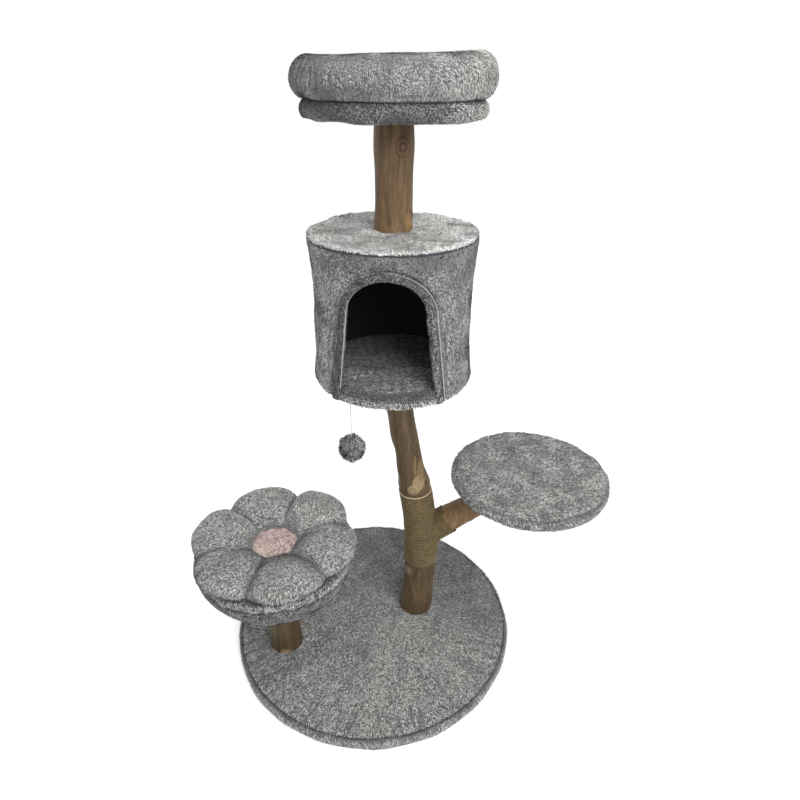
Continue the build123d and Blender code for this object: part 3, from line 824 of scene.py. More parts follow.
def sleeve():
    """The plush round the cabin, from the doorway's edge round the back to the other edge."""
    columns, rows = 400, 80
    heights = np.linspace(cabin_foot + 0.0005, SLEEVE_TOP, rows)
    a, z = (v.ravel() for v in np.meshgrid(bearings(columns) - math.pi, heights, indexing="xy"))
    flat = around(1, a - math.pi / 2 + DOOR_TURN, 0)
    r = side_radius(z)
    spots = flat * r[:, None] + (cabin_at.x, cabin_at.y, 0)
    spots[:, 2] = z
    r = r + ripple(spots, (0.0012, 41, 0.09), (0.0006, 42, 0.028))
    r -= CREASE_SINK * side_folds(spots) + BINDING_SINK * beside_binding(spots)
    turned_under = 1 - smooth(z, cabin_foot, cabin_foot + 0.006)
    r -= 0.003 * smooth(z, SLEEVE_TOP - 0.006, SLEEVE_TOP) ** 2 + 0.002 * turned_under**2
    points = flat * np.maximum(r, WALL_R + CLOTH_MIN)[:, None] + (cabin_at.x, cabin_at.y, 0)
    points[:, 2] = z
    across, height = door_place(spots)[:2]
    cut = door_distance(across, height) < SLEEVE_EDGE
    faces = [face for face in grid_faces(rows, columns) if not cut[list(face)].any()]
    ob = new_mesh("cabin_plush", points, faces)
    with edited(ob) as bm:
        bmesh.ops.delete(bm, geom=[v for v in bm.verts if not v.link_faces], context="VERTS")
    return ob


def hang_comb(points):
    """The nap hangs down."""
    return np.zeros_like(points) + (0.0, 0.0, -0.55)


def sleeve_depth(points):
    """Painted shade deep in the creases and under the roof's seam, and darker under the rim and on the right.
    """
    z, angle = door_place(points)[1:]
    top_seam = 0.8 * near(z - SLEEVE_TOP, 0.003)
    # painted shade down the cabin's right side
    right = 0.25 * smooth(angle, -0.1, 0.6) + 0.16 * patches(points, 44, 0.035, 0.2, 1.2)
    # painted shade under the roof's overhanging rim
    under_rim = 0.56 * smooth(z, SLEEVE_TOP - 0.050, SLEEVE_TOP - 0.015)
    under_rim = under_rim * smooth(angle, -1.0, -0.2) * (1 - 0.5 * smooth(angle, 0.4, 0.9))
    return deepest(0.75 * side_folds(points), 0.9 * beside_binding(points), top_seam, right + under_rim)


plush(sleeve(), "cabin_pile", material=pile_cabin, every=2.6e-6, length=0.0055, width=0.0012, seed=4,
      comb=hang_comb, depth=sleeve_depth, stands_for=["cabin_sleeve"])

top_shape = soft_cover(
    cabin_top, (0.004, 0.001), ((0.0012, 51, 0.08), (0.0006, 52, 0.035)), RIM_R, 0.85, ((0.004, 53, 0.08),)
)
roof = lathe("cabin_top_plush", cabin_at, [(WALL_R, SLEEVE_TOP)] + rim(
    RIM_R, (SLEEVE_TOP, (-0.004, -0.001), (-0.0012, 0.0012)),
    (cabin_top, (-0.0015, -0.0012), (-0.006, 0.0008), (-0.03, 0.0004)),
) + [(0.06, cabin_top), (0.0, cabin_top)], segments=300, shape=top_shape)


def out_comb(centre, strength=0.5, fall=0.0):
    """The nap lies outward from a centre, and down by a fall."""

    def comb(points):
        away = points[:, :2] - (centre[0], centre[1])
        away /= np.linalg.norm(away, axis=1)[:, None] + 1e-9
        return np.insert(away * strength, 2, fall, axis=1)

    return comb


def roof_depth(points):
    # painted shade in the seam round the roof's edge
    return 0.8 * near(points[:, 2] - SLEEVE_TOP, 0.0022)


plush(roof, "cabin_top_pile", material=pile_painted_light, under=ground_painted_light, length=0.0048, seed=5,
      comb=out_comb(cabin_at), depth=roof_depth, stands_for=["cabin_top_cover"])
hoop("cabin_top_seam", cabin_at, RIM_R - 0.0012, SLEEVE_TOP - 0.0004, thick=0.0017, wave=0.0008, seed=54)


def door_path(offset, low, count):
    """Points along the doorway's edge, offset outward from it, up one leg, over the arch and down."""
    half = DOOR_HALF + offset
    leg = SPRING - low
    whole = 2 * leg + math.pi * half
    run = np.linspace(0, whole, count)
    x, z = np.empty(count), np.empty(count)
    up, down = run < leg, run > whole - leg
    arch = ~up & ~down
    z[up], z[down] = low + run[up], low + whole - run[down]
    x[up], x[down] = -half - (SPRING - z[up]) * DOOR_LEAN, half + (SPRING - z[down]) * DOOR_LEAN
    bearing = (run[arch] - leg) / half
    x[arch], z[arch] = -half * np.cos(bearing), SPRING + half * np.sin(bearing)
    return x, z


def binding():
    """The folded plush edge round the doorway: a strip on the face that turns into the cabin."""
    count = 150
    corners = [  # offset from the doorway's edge, out from the cabin's face, and straight in from it
        (-0.0008, 0.0, 0.0150), (-0.0012, 0.0, 0.0080), (-0.0010, 0.0, 0.0), (0.0012, 0.0032, 0.0),
        (0.0055, 0.0042, 0.0), (0.0100, 0.0030, 0.0), (0.0122, -0.0002, 0.0), (0.0116, -0.0020, 0.0),
        (0.0060, -0.0022, 0.0), (0.0012, 0.0, 0.0030), (0.0004, 0.0, 0.0150),
    ]
    rows = [on_cabin(*door_path(offset, cabin_foot + 0.0006, count), *more) for offset, *more in corners]
    flat = np.stack(rows, 1).reshape(-1, 3)
    flat = flat + 0.0005 * crumple(flat, 60, 0.02)
    faces = grid_faces(count, len(corners)) + caps(count, len(corners))
    return tidy_mesh(new_mesh("door_binding_plush", flat, faces))


def binding_depth(points):
    """Painted shade, darker than the cabin's side, most of all down the left and where it turns in over the
    arch.
    """
    across, z = door_place(points)[:2]
    away = door_distance(across, z)
    left = 0.70 * (across < 0) * smooth(away, 0.0005, 0.0030) * (1 - 0.5 * smooth(z, SPRING, ARCH_TOP))
    right = (0.22 + 0.20 * smooth(z, SPRING, ARCH_TOP)) * (across > 0)
    turned_in = (0.45 + 0.35 * smooth(z, SPRING, ARCH_TOP)) * (1 - smooth(away, -0.001, 0.0035))
    return deepest(left, right, turned_in)


plush(binding(), "door_binding_pile", material=pile_shaded, under=ground_painted_shade, every=1.8e-6, length=0.0040,
      seed=6, comb=hang_comb, depth=binding_depth, stands_for=["door_binding"])


def door_edge(name, material, offset, low, out, part, section, thin=lambda step: 1.0 + 0 * step):
    """A line sewn along a part of the doorway's edge. thin(step) says how it thins out along its points."""
    path = on_cabin(*door_path(offset, low, 170), out)[part]
    dress(sweep(name, path, section, scale=thin(np.arange(len(path)))), material)


# the light corded edge up the binding's right side, which fades out over the arch
door_edge("door_piping", piping_material, 0.0125, cabin_foot + 0.001, 0.0044, slice(84, None),
          ring_section(0.0012, 0.0011, 8), lambda step: 0.2 + 0.8 * smooth(step, 0, 45))
# the pale raw edge of the binding down the doorway's left side
door_edge("door_left_edge", piping_material, -0.0014, top("door_sill"), 0.0016, slice(75),
          ring_section(0.0010, 0.0009, 8), lambda step: 0.25 + 0.75 * (1 - smooth(step, 40, 74)))
# a near-black line in the groove beside the binding: painted shade
door_edge("door_seam", seam_shade_material, 0.0155, cabin_foot + 0.001, -0.0016, slice(70, None),
          ring_section(0.0018, 0.0012, 6))


SILL_FACE, SILL_OVER = 0.62, 0.38  # shares of its cloth up the board's edge and in over the board
SILL_IN = 0.016
SILL_PUFF = 0.0012


def sill():
    """The plush over the floor board's front edge, under the doorway."""
    columns, rows = 60, 16
    foot = DOOR_HALF + (SPRING - cabin_foot) * DOOR_LEAN
    x = np.linspace(-foot, foot, columns)
    points = []
    for k in np.linspace(0, 1, rows):
        upward = min(1, k / SILL_FACE)
        inward = max(0.0, (k - SILL_FACE) / SILL_OVER)
        z = cabin_foot + (top("door_sill") + 0.001 - cabin_foot) * upward
        row = on_cabin(x, np.full(columns, z), 0.001 * math.sin(math.pi * upward) - SILL_IN * inward)
        row[:, 2] += SILL_PUFF * math.sin(math.pi * inward) - SILL_PUFF * inward
        points.append(row)
    flat = np.concatenate(points)
    flat = flat + 0.0006 * crumple(flat, 70, 0.03)
    return new_mesh("door_sill_plush", flat, grid_faces(rows, columns, close_columns=False))


def sill_depth(points):
    # painted shade, darker up the sill's cloth towards the inside of the doorway
    high = top("door_sill") - cabin_foot
    return 0.75 * smooth(points[:, 2], cabin_foot + high * 0.35, cabin_foot + high * 0.75)


plush(sill(), "door_sill_pile", material=pile_cabin, under=ground_painted_shade, every=2.4e-6, length=0.0042,
      width=0.0012, seed=7, comb=hang_comb, depth=sill_depth, stands_for=["door_sill"])

under = lathe("cabin_under_plush", cabin_at, rim(
    0.0, (cabin_foot, (0.0, 0.0006), (0.1, 0.0004), (RIM_R - 0.006, 0.0002), (RIM_R - 0.0022, 0.0018),
          (WALL_R + 0.002, 0.0026), (WALL_R, 0.0024)),
))
dress(under, ground, stands_for=["cabin_under_cover"])

pad_at, pad_r, pad_top = middle("floor_pad"), radius("floor_pad") - 0.0018, top("floor_pad")
pad_shape = soft_cover(pad_top, (0.003, 0.0), ((0.0010, 81, 0.06), (0.0005, 82, 0.025)))
floor_pad = lathe("floor_pad_plush", pad_at, [
    (pad_r - 0.002, bottom("floor_pad") + 0.0002), (pad_r, pad_top - 0.002), (pad_r - 0.003, pad_top),
    (0.06, pad_top), (0.0, pad_top),
], segments=200, shape=pad_shape)


def pad_depth(points):
    """Rubbed into dark and light tufts, with painted shade towards the back, inside the cabin."""
    tufts = 0.72 * patches(points, 84, 0.013, 0.0, 0.7)
    return np.clip(tufts + 0.45 * smooth(points[:, 1] - cabin_at.y, -0.07, 0.05), 0, 0.85)


plush(floor_pad, "floor_pad_pile", every=2.6e-6, length=0.0058, width=0.0013, seed=8,
      comb=out_comb(cabin_at, 0.3), depth=pad_depth, stands_for=["floor_pad"])

# ---- bed ----
bed_at = middle("bed_base_cover")
bed_foot, bed_top = bottom("bed_base_cover"), top("bed_base_cover")
bed_r = radius("bed_base_cover")
BOLSTER_R, BOLSTER_TOP = radius("bed_bolster") - 0.0008, top("bed_bolster")


def band_shape(points):
    """Loose cloth round the board, whose edge wanders in and out, and up and down."""
    out = points.copy()
    r = polar(points)[0]
    swell = ripple(points, (0.009, 91, 0.10), (0.004, 92, 0.035)) * smooth(r, bed_r * 0.8, bed_r)
    out[:, :2] *= (1 + swell)[:, None]
    out[:, 2] += 0.0016 * Waves(93, 0.08)(points) * smooth(r, bed_r * 0.7, bed_r)
    return out


band = lathe("bed_band_plush", bed_at, [(0.0, bed_foot + 0.0008), (0.09, bed_foot + 0.0006)] + rim(
    bed_r, (bed_foot, (-0.015, 0.0006), (-0.0055, 0.0030), (-0.0020, 0.0110), (-0.0025, 0.0190)),
    (bed_top, (-0.007, -0.0020), (-0.014, -0.0006), (-0.04, -0.001)),
) + [(0.0, bed_top - 0.001)], segments=300, shape=band_shape)


def painted_side_shade(points, full):
    """Painted shade on the bed's pile at its left, away from the light, and darker drifts in its nap."""
    across = (points[:, 0] - bed_at.x) / BOLSTER_R
    return full * (1 - smooth(across, 0.28, 0.86)) + 0.22 * patches(points, 104, 0.06, 0.1, 1.1)


def band_depth(points):
    # painted shade in the seam under the bolster and on the bed's left
    return np.maximum(0.9 * near(points[:, 2] - bed_top, 0.004), painted_side_shade(points, 0.72))


plush(band, "bed_band_pile", material=pile_bed, under=ground_painted_shade, every=2.4e-6, length=0.0048, width=0.0011,
      seed=9, comb=hang_comb, depth=band_depth, stands_for=["bed_base_cover"])

BOLSTER_W = 0.059
BOLSTER_H = BOLSTER_TOP - bed_top + 0.003
LOW_SIDE = math.radians(215)  # bearing of the bolster's lower side
GATHERS = [math.radians(208 + 4.6 * k) for k in range(8)]


def bolster_shape(points):
    """Lumps of filling, and one side lower than the other."""
    out = points.copy()
    r, angle = polar(points)
    up = smooth(points[:, 2], bed_top, BOLSTER_TOP)
    outside = smooth(r, BOLSTER_R - BOLSTER_W * 0.5, BOLSTER_R - 0.01)
    swell = ripple(points, (0.006, 101, 0.16), (0.004, 102, 0.06))
    out[:, :2] *= (1 + swell * outside)[:, None]
    out[:, 2] += up * (-0.0045 * np.cos(angle - LOW_SIDE) - 0.0035 + 0.0012 * Waves(103, 0.2)(points))
    return out


def gathers(points):
    """How deep a point lies in the puckers where the bolster's cloth is joined."""
    r, angle = polar(points, bed_at)
    z = points[:, 2]
    deep = np.zeros(len(points))
    for k, at in enumerate(GATHERS):
        off = turned(angle - at - 0.35 * (z - bed_top))
        high = BOLSTER_TOP - 0.012 - 0.006 * (k % 3)
        low = bed_top + 0.012 + 0.008 * (k % 2)
        run = smooth(z, low, bed_top + 0.03) * (1 - smooth(z, high - 0.02, high))
        deep = np.maximum(deep, near(off * BOLSTER_R, 0.0038) * run)
    return deep * smooth(r, BOLSTER_R - 0.03, BOLSTER_R - 0.015)


low_z = bed_top - 0.0008
middle_r = BOLSTER_R - BOLSTER_W / 2
ring = [
    *rim(middle_r, (low_z, (-0.018, 0.0), (0.010, 0.0))),
    *rim(BOLSTER_R, (
        low_z, (-0.0145, 0.0010), (-0.0060, 0.010), (-0.0010, BOLSTER_H * 0.36), (-0.0012, BOLSTER_H * 0.58),
        (-0.0080, BOLSTER_H * 0.83), (-0.0195, BOLSTER_H * 0.965),
    )),
    *rim(middle_r, (
        low_z, (0.0, BOLSTER_H), (-0.018, BOLSTER_H * 0.91), (-0.0275, BOLSTER_H * 0.7),
        (-0.0295, BOLSTER_H * 0.42), (-0.025, BOLSTER_H * 0.15), (-0.018, 0.0),
    )),
]
bolster = lathe("bed_bolster_plush", bed_at, ring, segments=200, step=0.006, shape=bolster_shape, closed=True)


def bolster_held(points):
    """Its underside is sewn down."""
    return 1 - smooth(points[:, 2], low_z + 0.004, low_z + 0.014)


stuff(bolster, bolster_held, cap=0.003)
bolster_points = coordinates(bolster.data)
bolster_points -= coordinates(bolster.data, "normal") * (0.0040 * gathers(bolster_points))[:, None]
set_points(bolster.data, bolster_points)


def bolster_comb(points):
    """The nap lies down the ring's side, and a little along it."""
    along = np.stack([-(points[:, 1] - bed_at.y), points[:, 0] - bed_at.x, 0 * points[:, 0]], 1) / BOLSTER_R
    return along * 0.35 + np.array((0, 0, -1.1))


def bolster_depth(points):
    # painted shade in the gathers, in the seam at its foot and on the bed's left
    return deepest(0.85 * gathers(points), 0.9 * near(points[:, 2] - low_z, 0.0045), painted_side_shade(points, 0.47))


plush(bolster, "bed_bolster_pile", material=pile_bed, every=2.4e-6, length=0.0054, width=0.0011, seed=10,
      comb=bolster_comb, depth=bolster_depth, stands_for=["bed_bolster"])
hoop("bed_seam", bed_at, bed_r - 0.0100, bed_top - 0.0004, thick=0.0010, wave=0.001, seed=94)

cushion_low, cushion_high = bottom("bed_pad"), top("bed_pad")
bed_pad_r, pad_high = radius("bed_pad"), cushion_high - cushion_low
SEAT_PROFILE = [  # shares of the pad's radius and of its height
    (0.0, 0.0), (0.7, 0.0), (0.93, 0.14), (0.985, 0.34), (0.975, 0.4), (0.985, 0.46), (0.92, 0.72),
    (0.7, 0.92), (0.3, 1.0), (0.0, 0.98),
]
seat_profile = [(bed_pad_r * across, cushion_low + pad_high * up) for across, up in SEAT_PROFILE]
seat_shape = soft_cover(cushion_high, (pad_high - 0.004, 0.0), ((0.0014, 111, 0.07),))
seat = lathe("bed_pad_plush", bed_at, seat_profile, segments=220, shape=seat_shape)


def seat_depth(points):
    return painted_side_shade(points, 0.40)


plush(seat, "bed_pad_pile", material=pile_bed, body="seat_pad", seed=12, depth=seat_depth,
      stands_for=["bed_pad"])

# ---- flower ----
flower_at = middle("flower_tray")
tray_foot, tray_top = bottom("flower_tray"), top("flower_tray")
TRAY_R = radius("flower_tray")
CUSHION_Z = tray_top + 0.0003
PLUG_Z = bottom("flower_cushion")
CROWN_Z = top("flower_cushion")
PETAL_RING, PETAL_R = 0.081, 0.085
FIRST_PETAL = math.radians(50)
SIXTH = math.pi / 3
PLUG_R = TRAY_R - 0.030
PETAL_SIZES = (1.0, 0.985, 0.99, 1.0, 1.0, 0.985)
SEAM_R = 0.1500  # the cushion's lower seam
SEAM_RISE = 0.0055  # its height over the tray
SWELL = 0.0165  # height where the petals are widest
heart_at, HEART_R, HEART_TOP = middle("flower_heart"), radius("flower_heart"), top("flower_heart")
CREASE_END = HEART_TOP - CUSHION_Z - 0.001  # height of the creases where they meet the heart
# how far from the crease, the edge and the heart a petal reaches its full height
FROM_CREASE, FROM_EDGE, FROM_HEART = 0.036, 0.046, 0.060


def from_petal(angle):
    """How far a bearing lies from the middle of its petal."""
    return (angle - FIRST_PETAL + SIXTH / 2) % SIXTH - SIXTH / 2


def petal_edge(angle):
    """The petals' outline as a radius for each bearing."""
    away = from_petal(angle)
    edge = PETAL_RING * np.cos(away) + np.sqrt(PETAL_R**2 - (PETAL_RING * np.sin(away)) ** 2)
    which = np.round((angle - FIRST_PETAL) / SIXTH).astype(int) % 6
    return edge * np.take(PETAL_SIZES, which) ** np.cos(away * 3) ** 2


def crease_distance(r, angle):
    """Distance from the nearest crease between two petals."""
    return r * np.sin(SIXTH / 2 - np.abs(from_petal(angle)))


def swell_height(angle):
    """Height of the widest line, which dips between the petals."""
    return SWELL * (1 - 0.45 * smooth(np.abs(from_petal(angle)), math.radians(15), SIXTH / 2))


def quarter_round(u):
    """From 0 to 1 along a quarter circle, steep at first."""
    return np.sqrt(1 - (1 - np.clip(u, 0, 1)) ** 2)


def petal_height(r, angle):
    """Height of the petals over their seam: six stuffed crowns round the heart, with creases between them."""
    edge = petal_edge(angle)
    floor_height = CREASE_END + (swell_height(angle) - CREASE_END) * smooth(r / edge, 0.45, 1.0)
    puff = quarter_round(crease_distance(r, angle) / FROM_CREASE) ** 0.85
    puff *= quarter_round((edge - r) / FROM_EDGE) * quarter_round((r - HEART_R * 0.97) / FROM_HEART)
    return floor_height + (CROWN_Z - CUSHION_Z - 0.002 - floor_height) * puff


def flower_cushion():
    """The petals' crowns, their rolled-in edge down to the seam, and the plug under them."""
    columns, crown_rings, edge_rings = 240, 44, 8
    angle = bearings(columns)
    outline = petal_edge(angle)
    swell = swell_height(angle)
    inset = outline - np.minimum(SEAM_R, outline - 0.003)
    plug_low = PLUG_Z - CUSHION_Z
    rings = []
    for t in 1 - (1 - np.linspace(0, 1, crown_rings)) ** 1.3:
        rings.append((outline * t, petal_height(outline * t, angle)))
    for turn in np.linspace(0, math.pi / 2, edge_rings)[1:]:
        z = SEAM_RISE + (swell - SEAM_RISE) * (1 - math.sin(turn))
        rings.append((outline - inset * (1 - math.cos(turn)), z))
    rings += [
        (0.140, 0.002), (PLUG_R + 0.002, 0.0), (PLUG_R - 0.001, -0.002), (PLUG_R - 0.002, plug_low + 0.002),
        (PLUG_R - 0.008, plug_low), (0.06, plug_low), (0.0, plug_low),
    ]
    points = np.concatenate([around(r, angle, CUSHION_Z + z) for r, z in rings])
    points += (flower_at.x, flower_at.y, 0)
    return tidy_mesh(new_mesh("flower_cushion_plush", points, grid_faces(len(rings), columns)))


def petals_held(points):
    """Held at the heart, along the creases and at the seam and below it."""
    r, angle = polar(points, flower_at)
    crease = 0.9 * near(crease_distance(r, angle), 0.005)
    heart_ring = 1 - smooth(r, HEART_R, HEART_R + 0.008)
    below = 1 - smooth(points[:, 2], CUSHION_Z + SEAM_RISE, CUSHION_Z + SEAM_RISE + 0.005)
    return np.clip(deepest(crease, heart_ring, below), 0, 1)


flower = flower_cushion()
stuff(flower, petals_held, cap=0.0030, voxel=0.0045)
flower_points = coordinates(flower.data)
flower_points[:, 2] += 0.0008 * Waves(121, 0.04)(flower_points) * (flower_points[:, 2] > CUSHION_Z + 0.010)
set_points(flower.data, flower_points)


def above_seam(points):
    r = polar(points, flower_at)[0]
    return (points[:, 2] > CUSHION_Z + SEAM_RISE - 0.001) & (r > HEART_R * 0.95)


def petal_depth(points):
    """Painted shade deep in the creases, at the seam and round the heart, and a little on the petals' flanks.
    """
    r, angle = polar(points, flower_at)
    crease = 0.85 * near(crease_distance(r, angle), 0.0042) * smooth(r, HEART_R, HEART_R + 0.015)
    seam = 0.95 * near(points[:, 2] - CUSHION_Z - SEAM_RISE, 0.0045) * (r > SEAM_R - 0.02)
    flank = 0.24 * (1 - smooth(points[:, 2] - CUSHION_Z - SEAM_RISE, 0.006, 0.024))
    return deepest(crease, seam, flank, 0.6 * near(r - HEART_R, 0.004))


plush(flower, "flower_cushion_pile", body="flower", every=2.8e-6, length=0.0060, seed=13,
      comb=out_comb(flower_at, 0.9, -0.5), keep=above_seam, depth=petal_depth, stands_for=["flower_cushion"])


def heart_shape(points):
    """A little wavy round its edge, where the petals pull at it."""
    out = points.copy()
    r, angle = polar(points)
    pull = 1 + 0.035 * np.cos(6 * (angle - FIRST_PETAL) + 3.1) * smooth(r, 0.02, HEART_R)
    out[:, :2] *= pull[:, None]
    return out


heart_low = bottom("flower_heart") + 0.0005
heart = lathe("flower_heart_plush", heart_at, [(0.0, heart_low), (HEART_R - 0.006, heart_low)] + rim(
    HEART_R, (HEART_TOP, (-0.0002, -0.0070), (-0.0008, -0.0030), (-0.0045, 0.0004), (-0.016, 0.0030)),
) + [(0.0, HEART_TOP + 0.0040)], segments=160, step=0.003, shape=heart_shape)


def heart_up(points):
    return points[:, 2] > HEART_TOP - 0.004


plush(heart, "flower_heart_pile", material=pink_pile, under=pink_ground, body="flower", slot="pink_plush",
      every=1.6e-6, length=0.0036, width=0.0010, seed=14, lift=0.4, swirl=0.03, keep=heart_up,
      stands_for=["flower_heart"])

ROLL_Z = tray_foot + 0.0920  # the crease under the tray's rolled rim


def tray():
    """The padded bowl: a rolled, ruffled rim over a round underside."""
    columns = 320
    angle = bearings(columns)
    profile = curve_through(rim(
        0.0,
        (tray_foot, (0.0, 0.0), (0.03, 0.0), (0.090, 0.0), (0.0985, 0.004), (0.1200, 0.024),
         (0.1395, 0.048), (0.1520, 0.070), (0.1542, 0.082)),
        (ROLL_Z, (0.1515, 0.0), (0.1515, 0.0), (0.1538, 0.004), (0.1552, 0.0085)),
        (tray_top, (0.1540, 0.0010), (0.1510, 0.0042), (0.1440, 0.0015), (0.1400, -0.0008),
         (PLUG_R + 0.006, -0.004)),
        (PLUG_Z, (PLUG_R + 0.004, -0.0006), (0.08, -0.0006), (0.0, -0.0006)),
    ), 0.004)
    rings = []
    for r, z in profile:
        ring_points = around(r, angle, z)
        share = smooth(r, 0.095, 0.15) * (z > tray_foot + 0.002)
        roll = share * smooth(z, ROLL_Z - 0.002, ROLL_Z + 0.004)
        ruffle = ripple(ring_points, (share * 0.0012, 131, 0.06), (roll * 0.0014, 132, 0.022))
        ring_points += around(ruffle, angle, 0)
        over = roll * (z > tray_top - 0.012) * (r > 0.15)
        ring_points[:, 2] += over * 0.0018 * Waves(133, 0.03)(ring_points)
        rings.append(ring_points)
    points = np.concatenate(rings) + (flower_at.x, flower_at.y, 0)
    return tidy_mesh(new_mesh("flower_tray_plush", points, grid_faces(len(rings), columns)))


def tray_outside(points):
    return (polar(points, flower_at)[0] > 0.1495) | (points[:, 2] < ROLL_Z)


def tray_depth(points):
    """Painted shade deep in the creases over and under the rolled rim, and dark on the bowl below it."""
    z = points[:, 2]
    creases = np.maximum(0.95 * near(z - ROLL_Z, 0.0045), 0.9 * near(z - tray_top - 0.005, 0.0030))
    creases = creases * (polar(points, flower_at)[0] > 0.13)
    bowl = (0.46 + 0.24 * patches(points, 136, 0.025, -0.5, 1.0)) * (z < ROLL_Z)
    return deepest(creases, bowl, 0.35 * patches(points, 137, 0.016, 0.2, 1.0))


plush(tray(), "flower_tray_pile", under=ground_painted_shade, seed=15, comb=hang_comb, keep=tray_outside,
      depth=tray_depth, stands_for=["flower_tray"])


def petal_seam():
    """A near-black line in the gap between the cushion and its bowl: painted shade."""
    angle = bearings(360)
    r = np.minimum(SEAM_R, petal_edge(angle) - 0.003) + 0.0026
    path = around(r, angle, CUSHION_Z + SEAM_RISE - 0.0012, flower_at)
    path[:, 2] += 0.0010 * Waves(135, 0.03)(path)
    return sweep("petal_seam", path, ring_section(0.0024, 0.0018, 6), closed_path=True)


dress(petal_seam(), seam_shade_material, body="flower")

# ---- logs ----
TRUNK_LINE = [  # x, y, z and radius of the bare log, in millimetres
    (97, 30, 26.5, 36.0), (100, 30, 67, 36.0), (104, 32, 110, 34.0), (106, 32, 174, 34.0),
    (107, 32, 195, 34.0), (106, 32, 243, 33.5), (99, 32, 312, 32.0), (90.5, 32, 366, 31.8),
    (88.0, 32, 382, 33.2), (84.8, 32, 401, 29.8), (80, 32, 423, 27.4), (73.5, 33, 467, 25.6),
    (65, 35, 510, 26.4), (46, 37, 637.3, 26.4),
]
POST_LINE = [
    (45.0, 40, 901.5, 32.6), (44.6, 40, 915, 32.0), (44.5, 39, 945, 31.0), (45.5, 38, 990, 31.6),
    (46.5, 37.5, 1025, 32.4), (46, 37, 1050, 30.6), (45, 37, 1073.3, 29.4),
]
STUB_LINE = [
    (-190, -77, 26.5, 34.2), (-189.4, -77, 60, 33.2), (-189, -77, 115, 32.2), (-190, -77, 193.4, 33.0),
]
FORK = np.array((0.106, 0.032, 0.243))
PERCH_END = np.array((0.300, 0.033, 0.385))
BRANCH_WAY = (PERCH_END - FORK) / np.linalg.norm(PERCH_END - FORK)
LOG_STEP = 0.003  # distance between a log's rings
LOG_SIDES = 72
STREAK = 26.0  # how close the wood's streaks lie


def dense_line(rows):
    """Centres and radii a step apart along a log whose rows are in millimetres."""
    fine = curve_through(np.array(rows, float) / 1000, LOG_STEP)
    return fine[:, :3], fine[:, 3]


def wood_log(name, rows, knots=(), seed=1, lumps=0.0011, dents=()):
    """A sanded log: rings along a line, with shallow flutes, bumps at its knots and dents sanded flat."""
    centres, radii = dense_line(rows)
    ahead = np.gradient(centres, axis=0)
    ahead /= np.linalg.norm(ahead, axis=1)[:, None]
    first = np.cross(ahead, (0.0, 1.0, 0.0))
    first /= np.linalg.norm(first, axis=1)[:, None]
    second = np.cross(first, ahead)
    angle = np.arange(LOG_SIDES + 1) / LOG_SIDES * TAU
    run = np.concatenate([[0], np.cumsum(np.linalg.norm(np.diff(centres, axis=0), axis=1))])
    points, uvs = [], []
    for i in range(len(centres)):
        out = np.cos(angle)[:, None] * first[i] + np.sin(angle)[:, None] * second[i]
        ring = centres[i] + radii[i] * out
        flutes = 0.45 * lumps * Waves(seed + 3, 0.016)(ring * (1, 1, 0.12))
        off = lumps * Waves(seed, 0.05)(ring * (1, 1, 0.6)) + flutes
        for spot, reach, high in knots:
            off = off + high * near(np.linalg.norm(ring - np.array(spot), axis=1), reach)
        for spot, facing, depth, reach in dents:
            flat = (ring - np.array(spot)) @ np.array(facing)
            within = np.exp(-((np.linalg.norm(ring - np.array(spot), axis=1) / reach) ** 4))
            off = off - np.clip(flat + depth, 0, None) * within
        points.append(ring + out * off[:, None])
        uvs.append(np.stack([angle / TAU, run[i] + 0 * angle], 1))
    columns = LOG_SIDES + 1
    faces = grid_faces(len(points), columns, close_columns=False) + caps(len(points), columns, LOG_SIDES)
    return tidy_mesh(new_mesh(name, np.concatenate(points), faces, np.concatenate(uvs)), apart=1e-6)


def from_spot(s, at, spot, size):
    """Distance from a spot, as a share of a size along each axis."""
    gap = s.vector("MULTIPLY", s.vector("SUBTRACT", at, spot), tuple(1 / v for v in size))
    return s.vector("LENGTH", gap, out=1)


KNOT_DARK, KNOT_LIGHT = (0.05, 0.022, 0.012), (0.16, 0.08, 0.04)
CRACK_BROWN, STUB_BROWN = (0.05, 0.032, 0.02), (0.115, 0.068, 0.030)


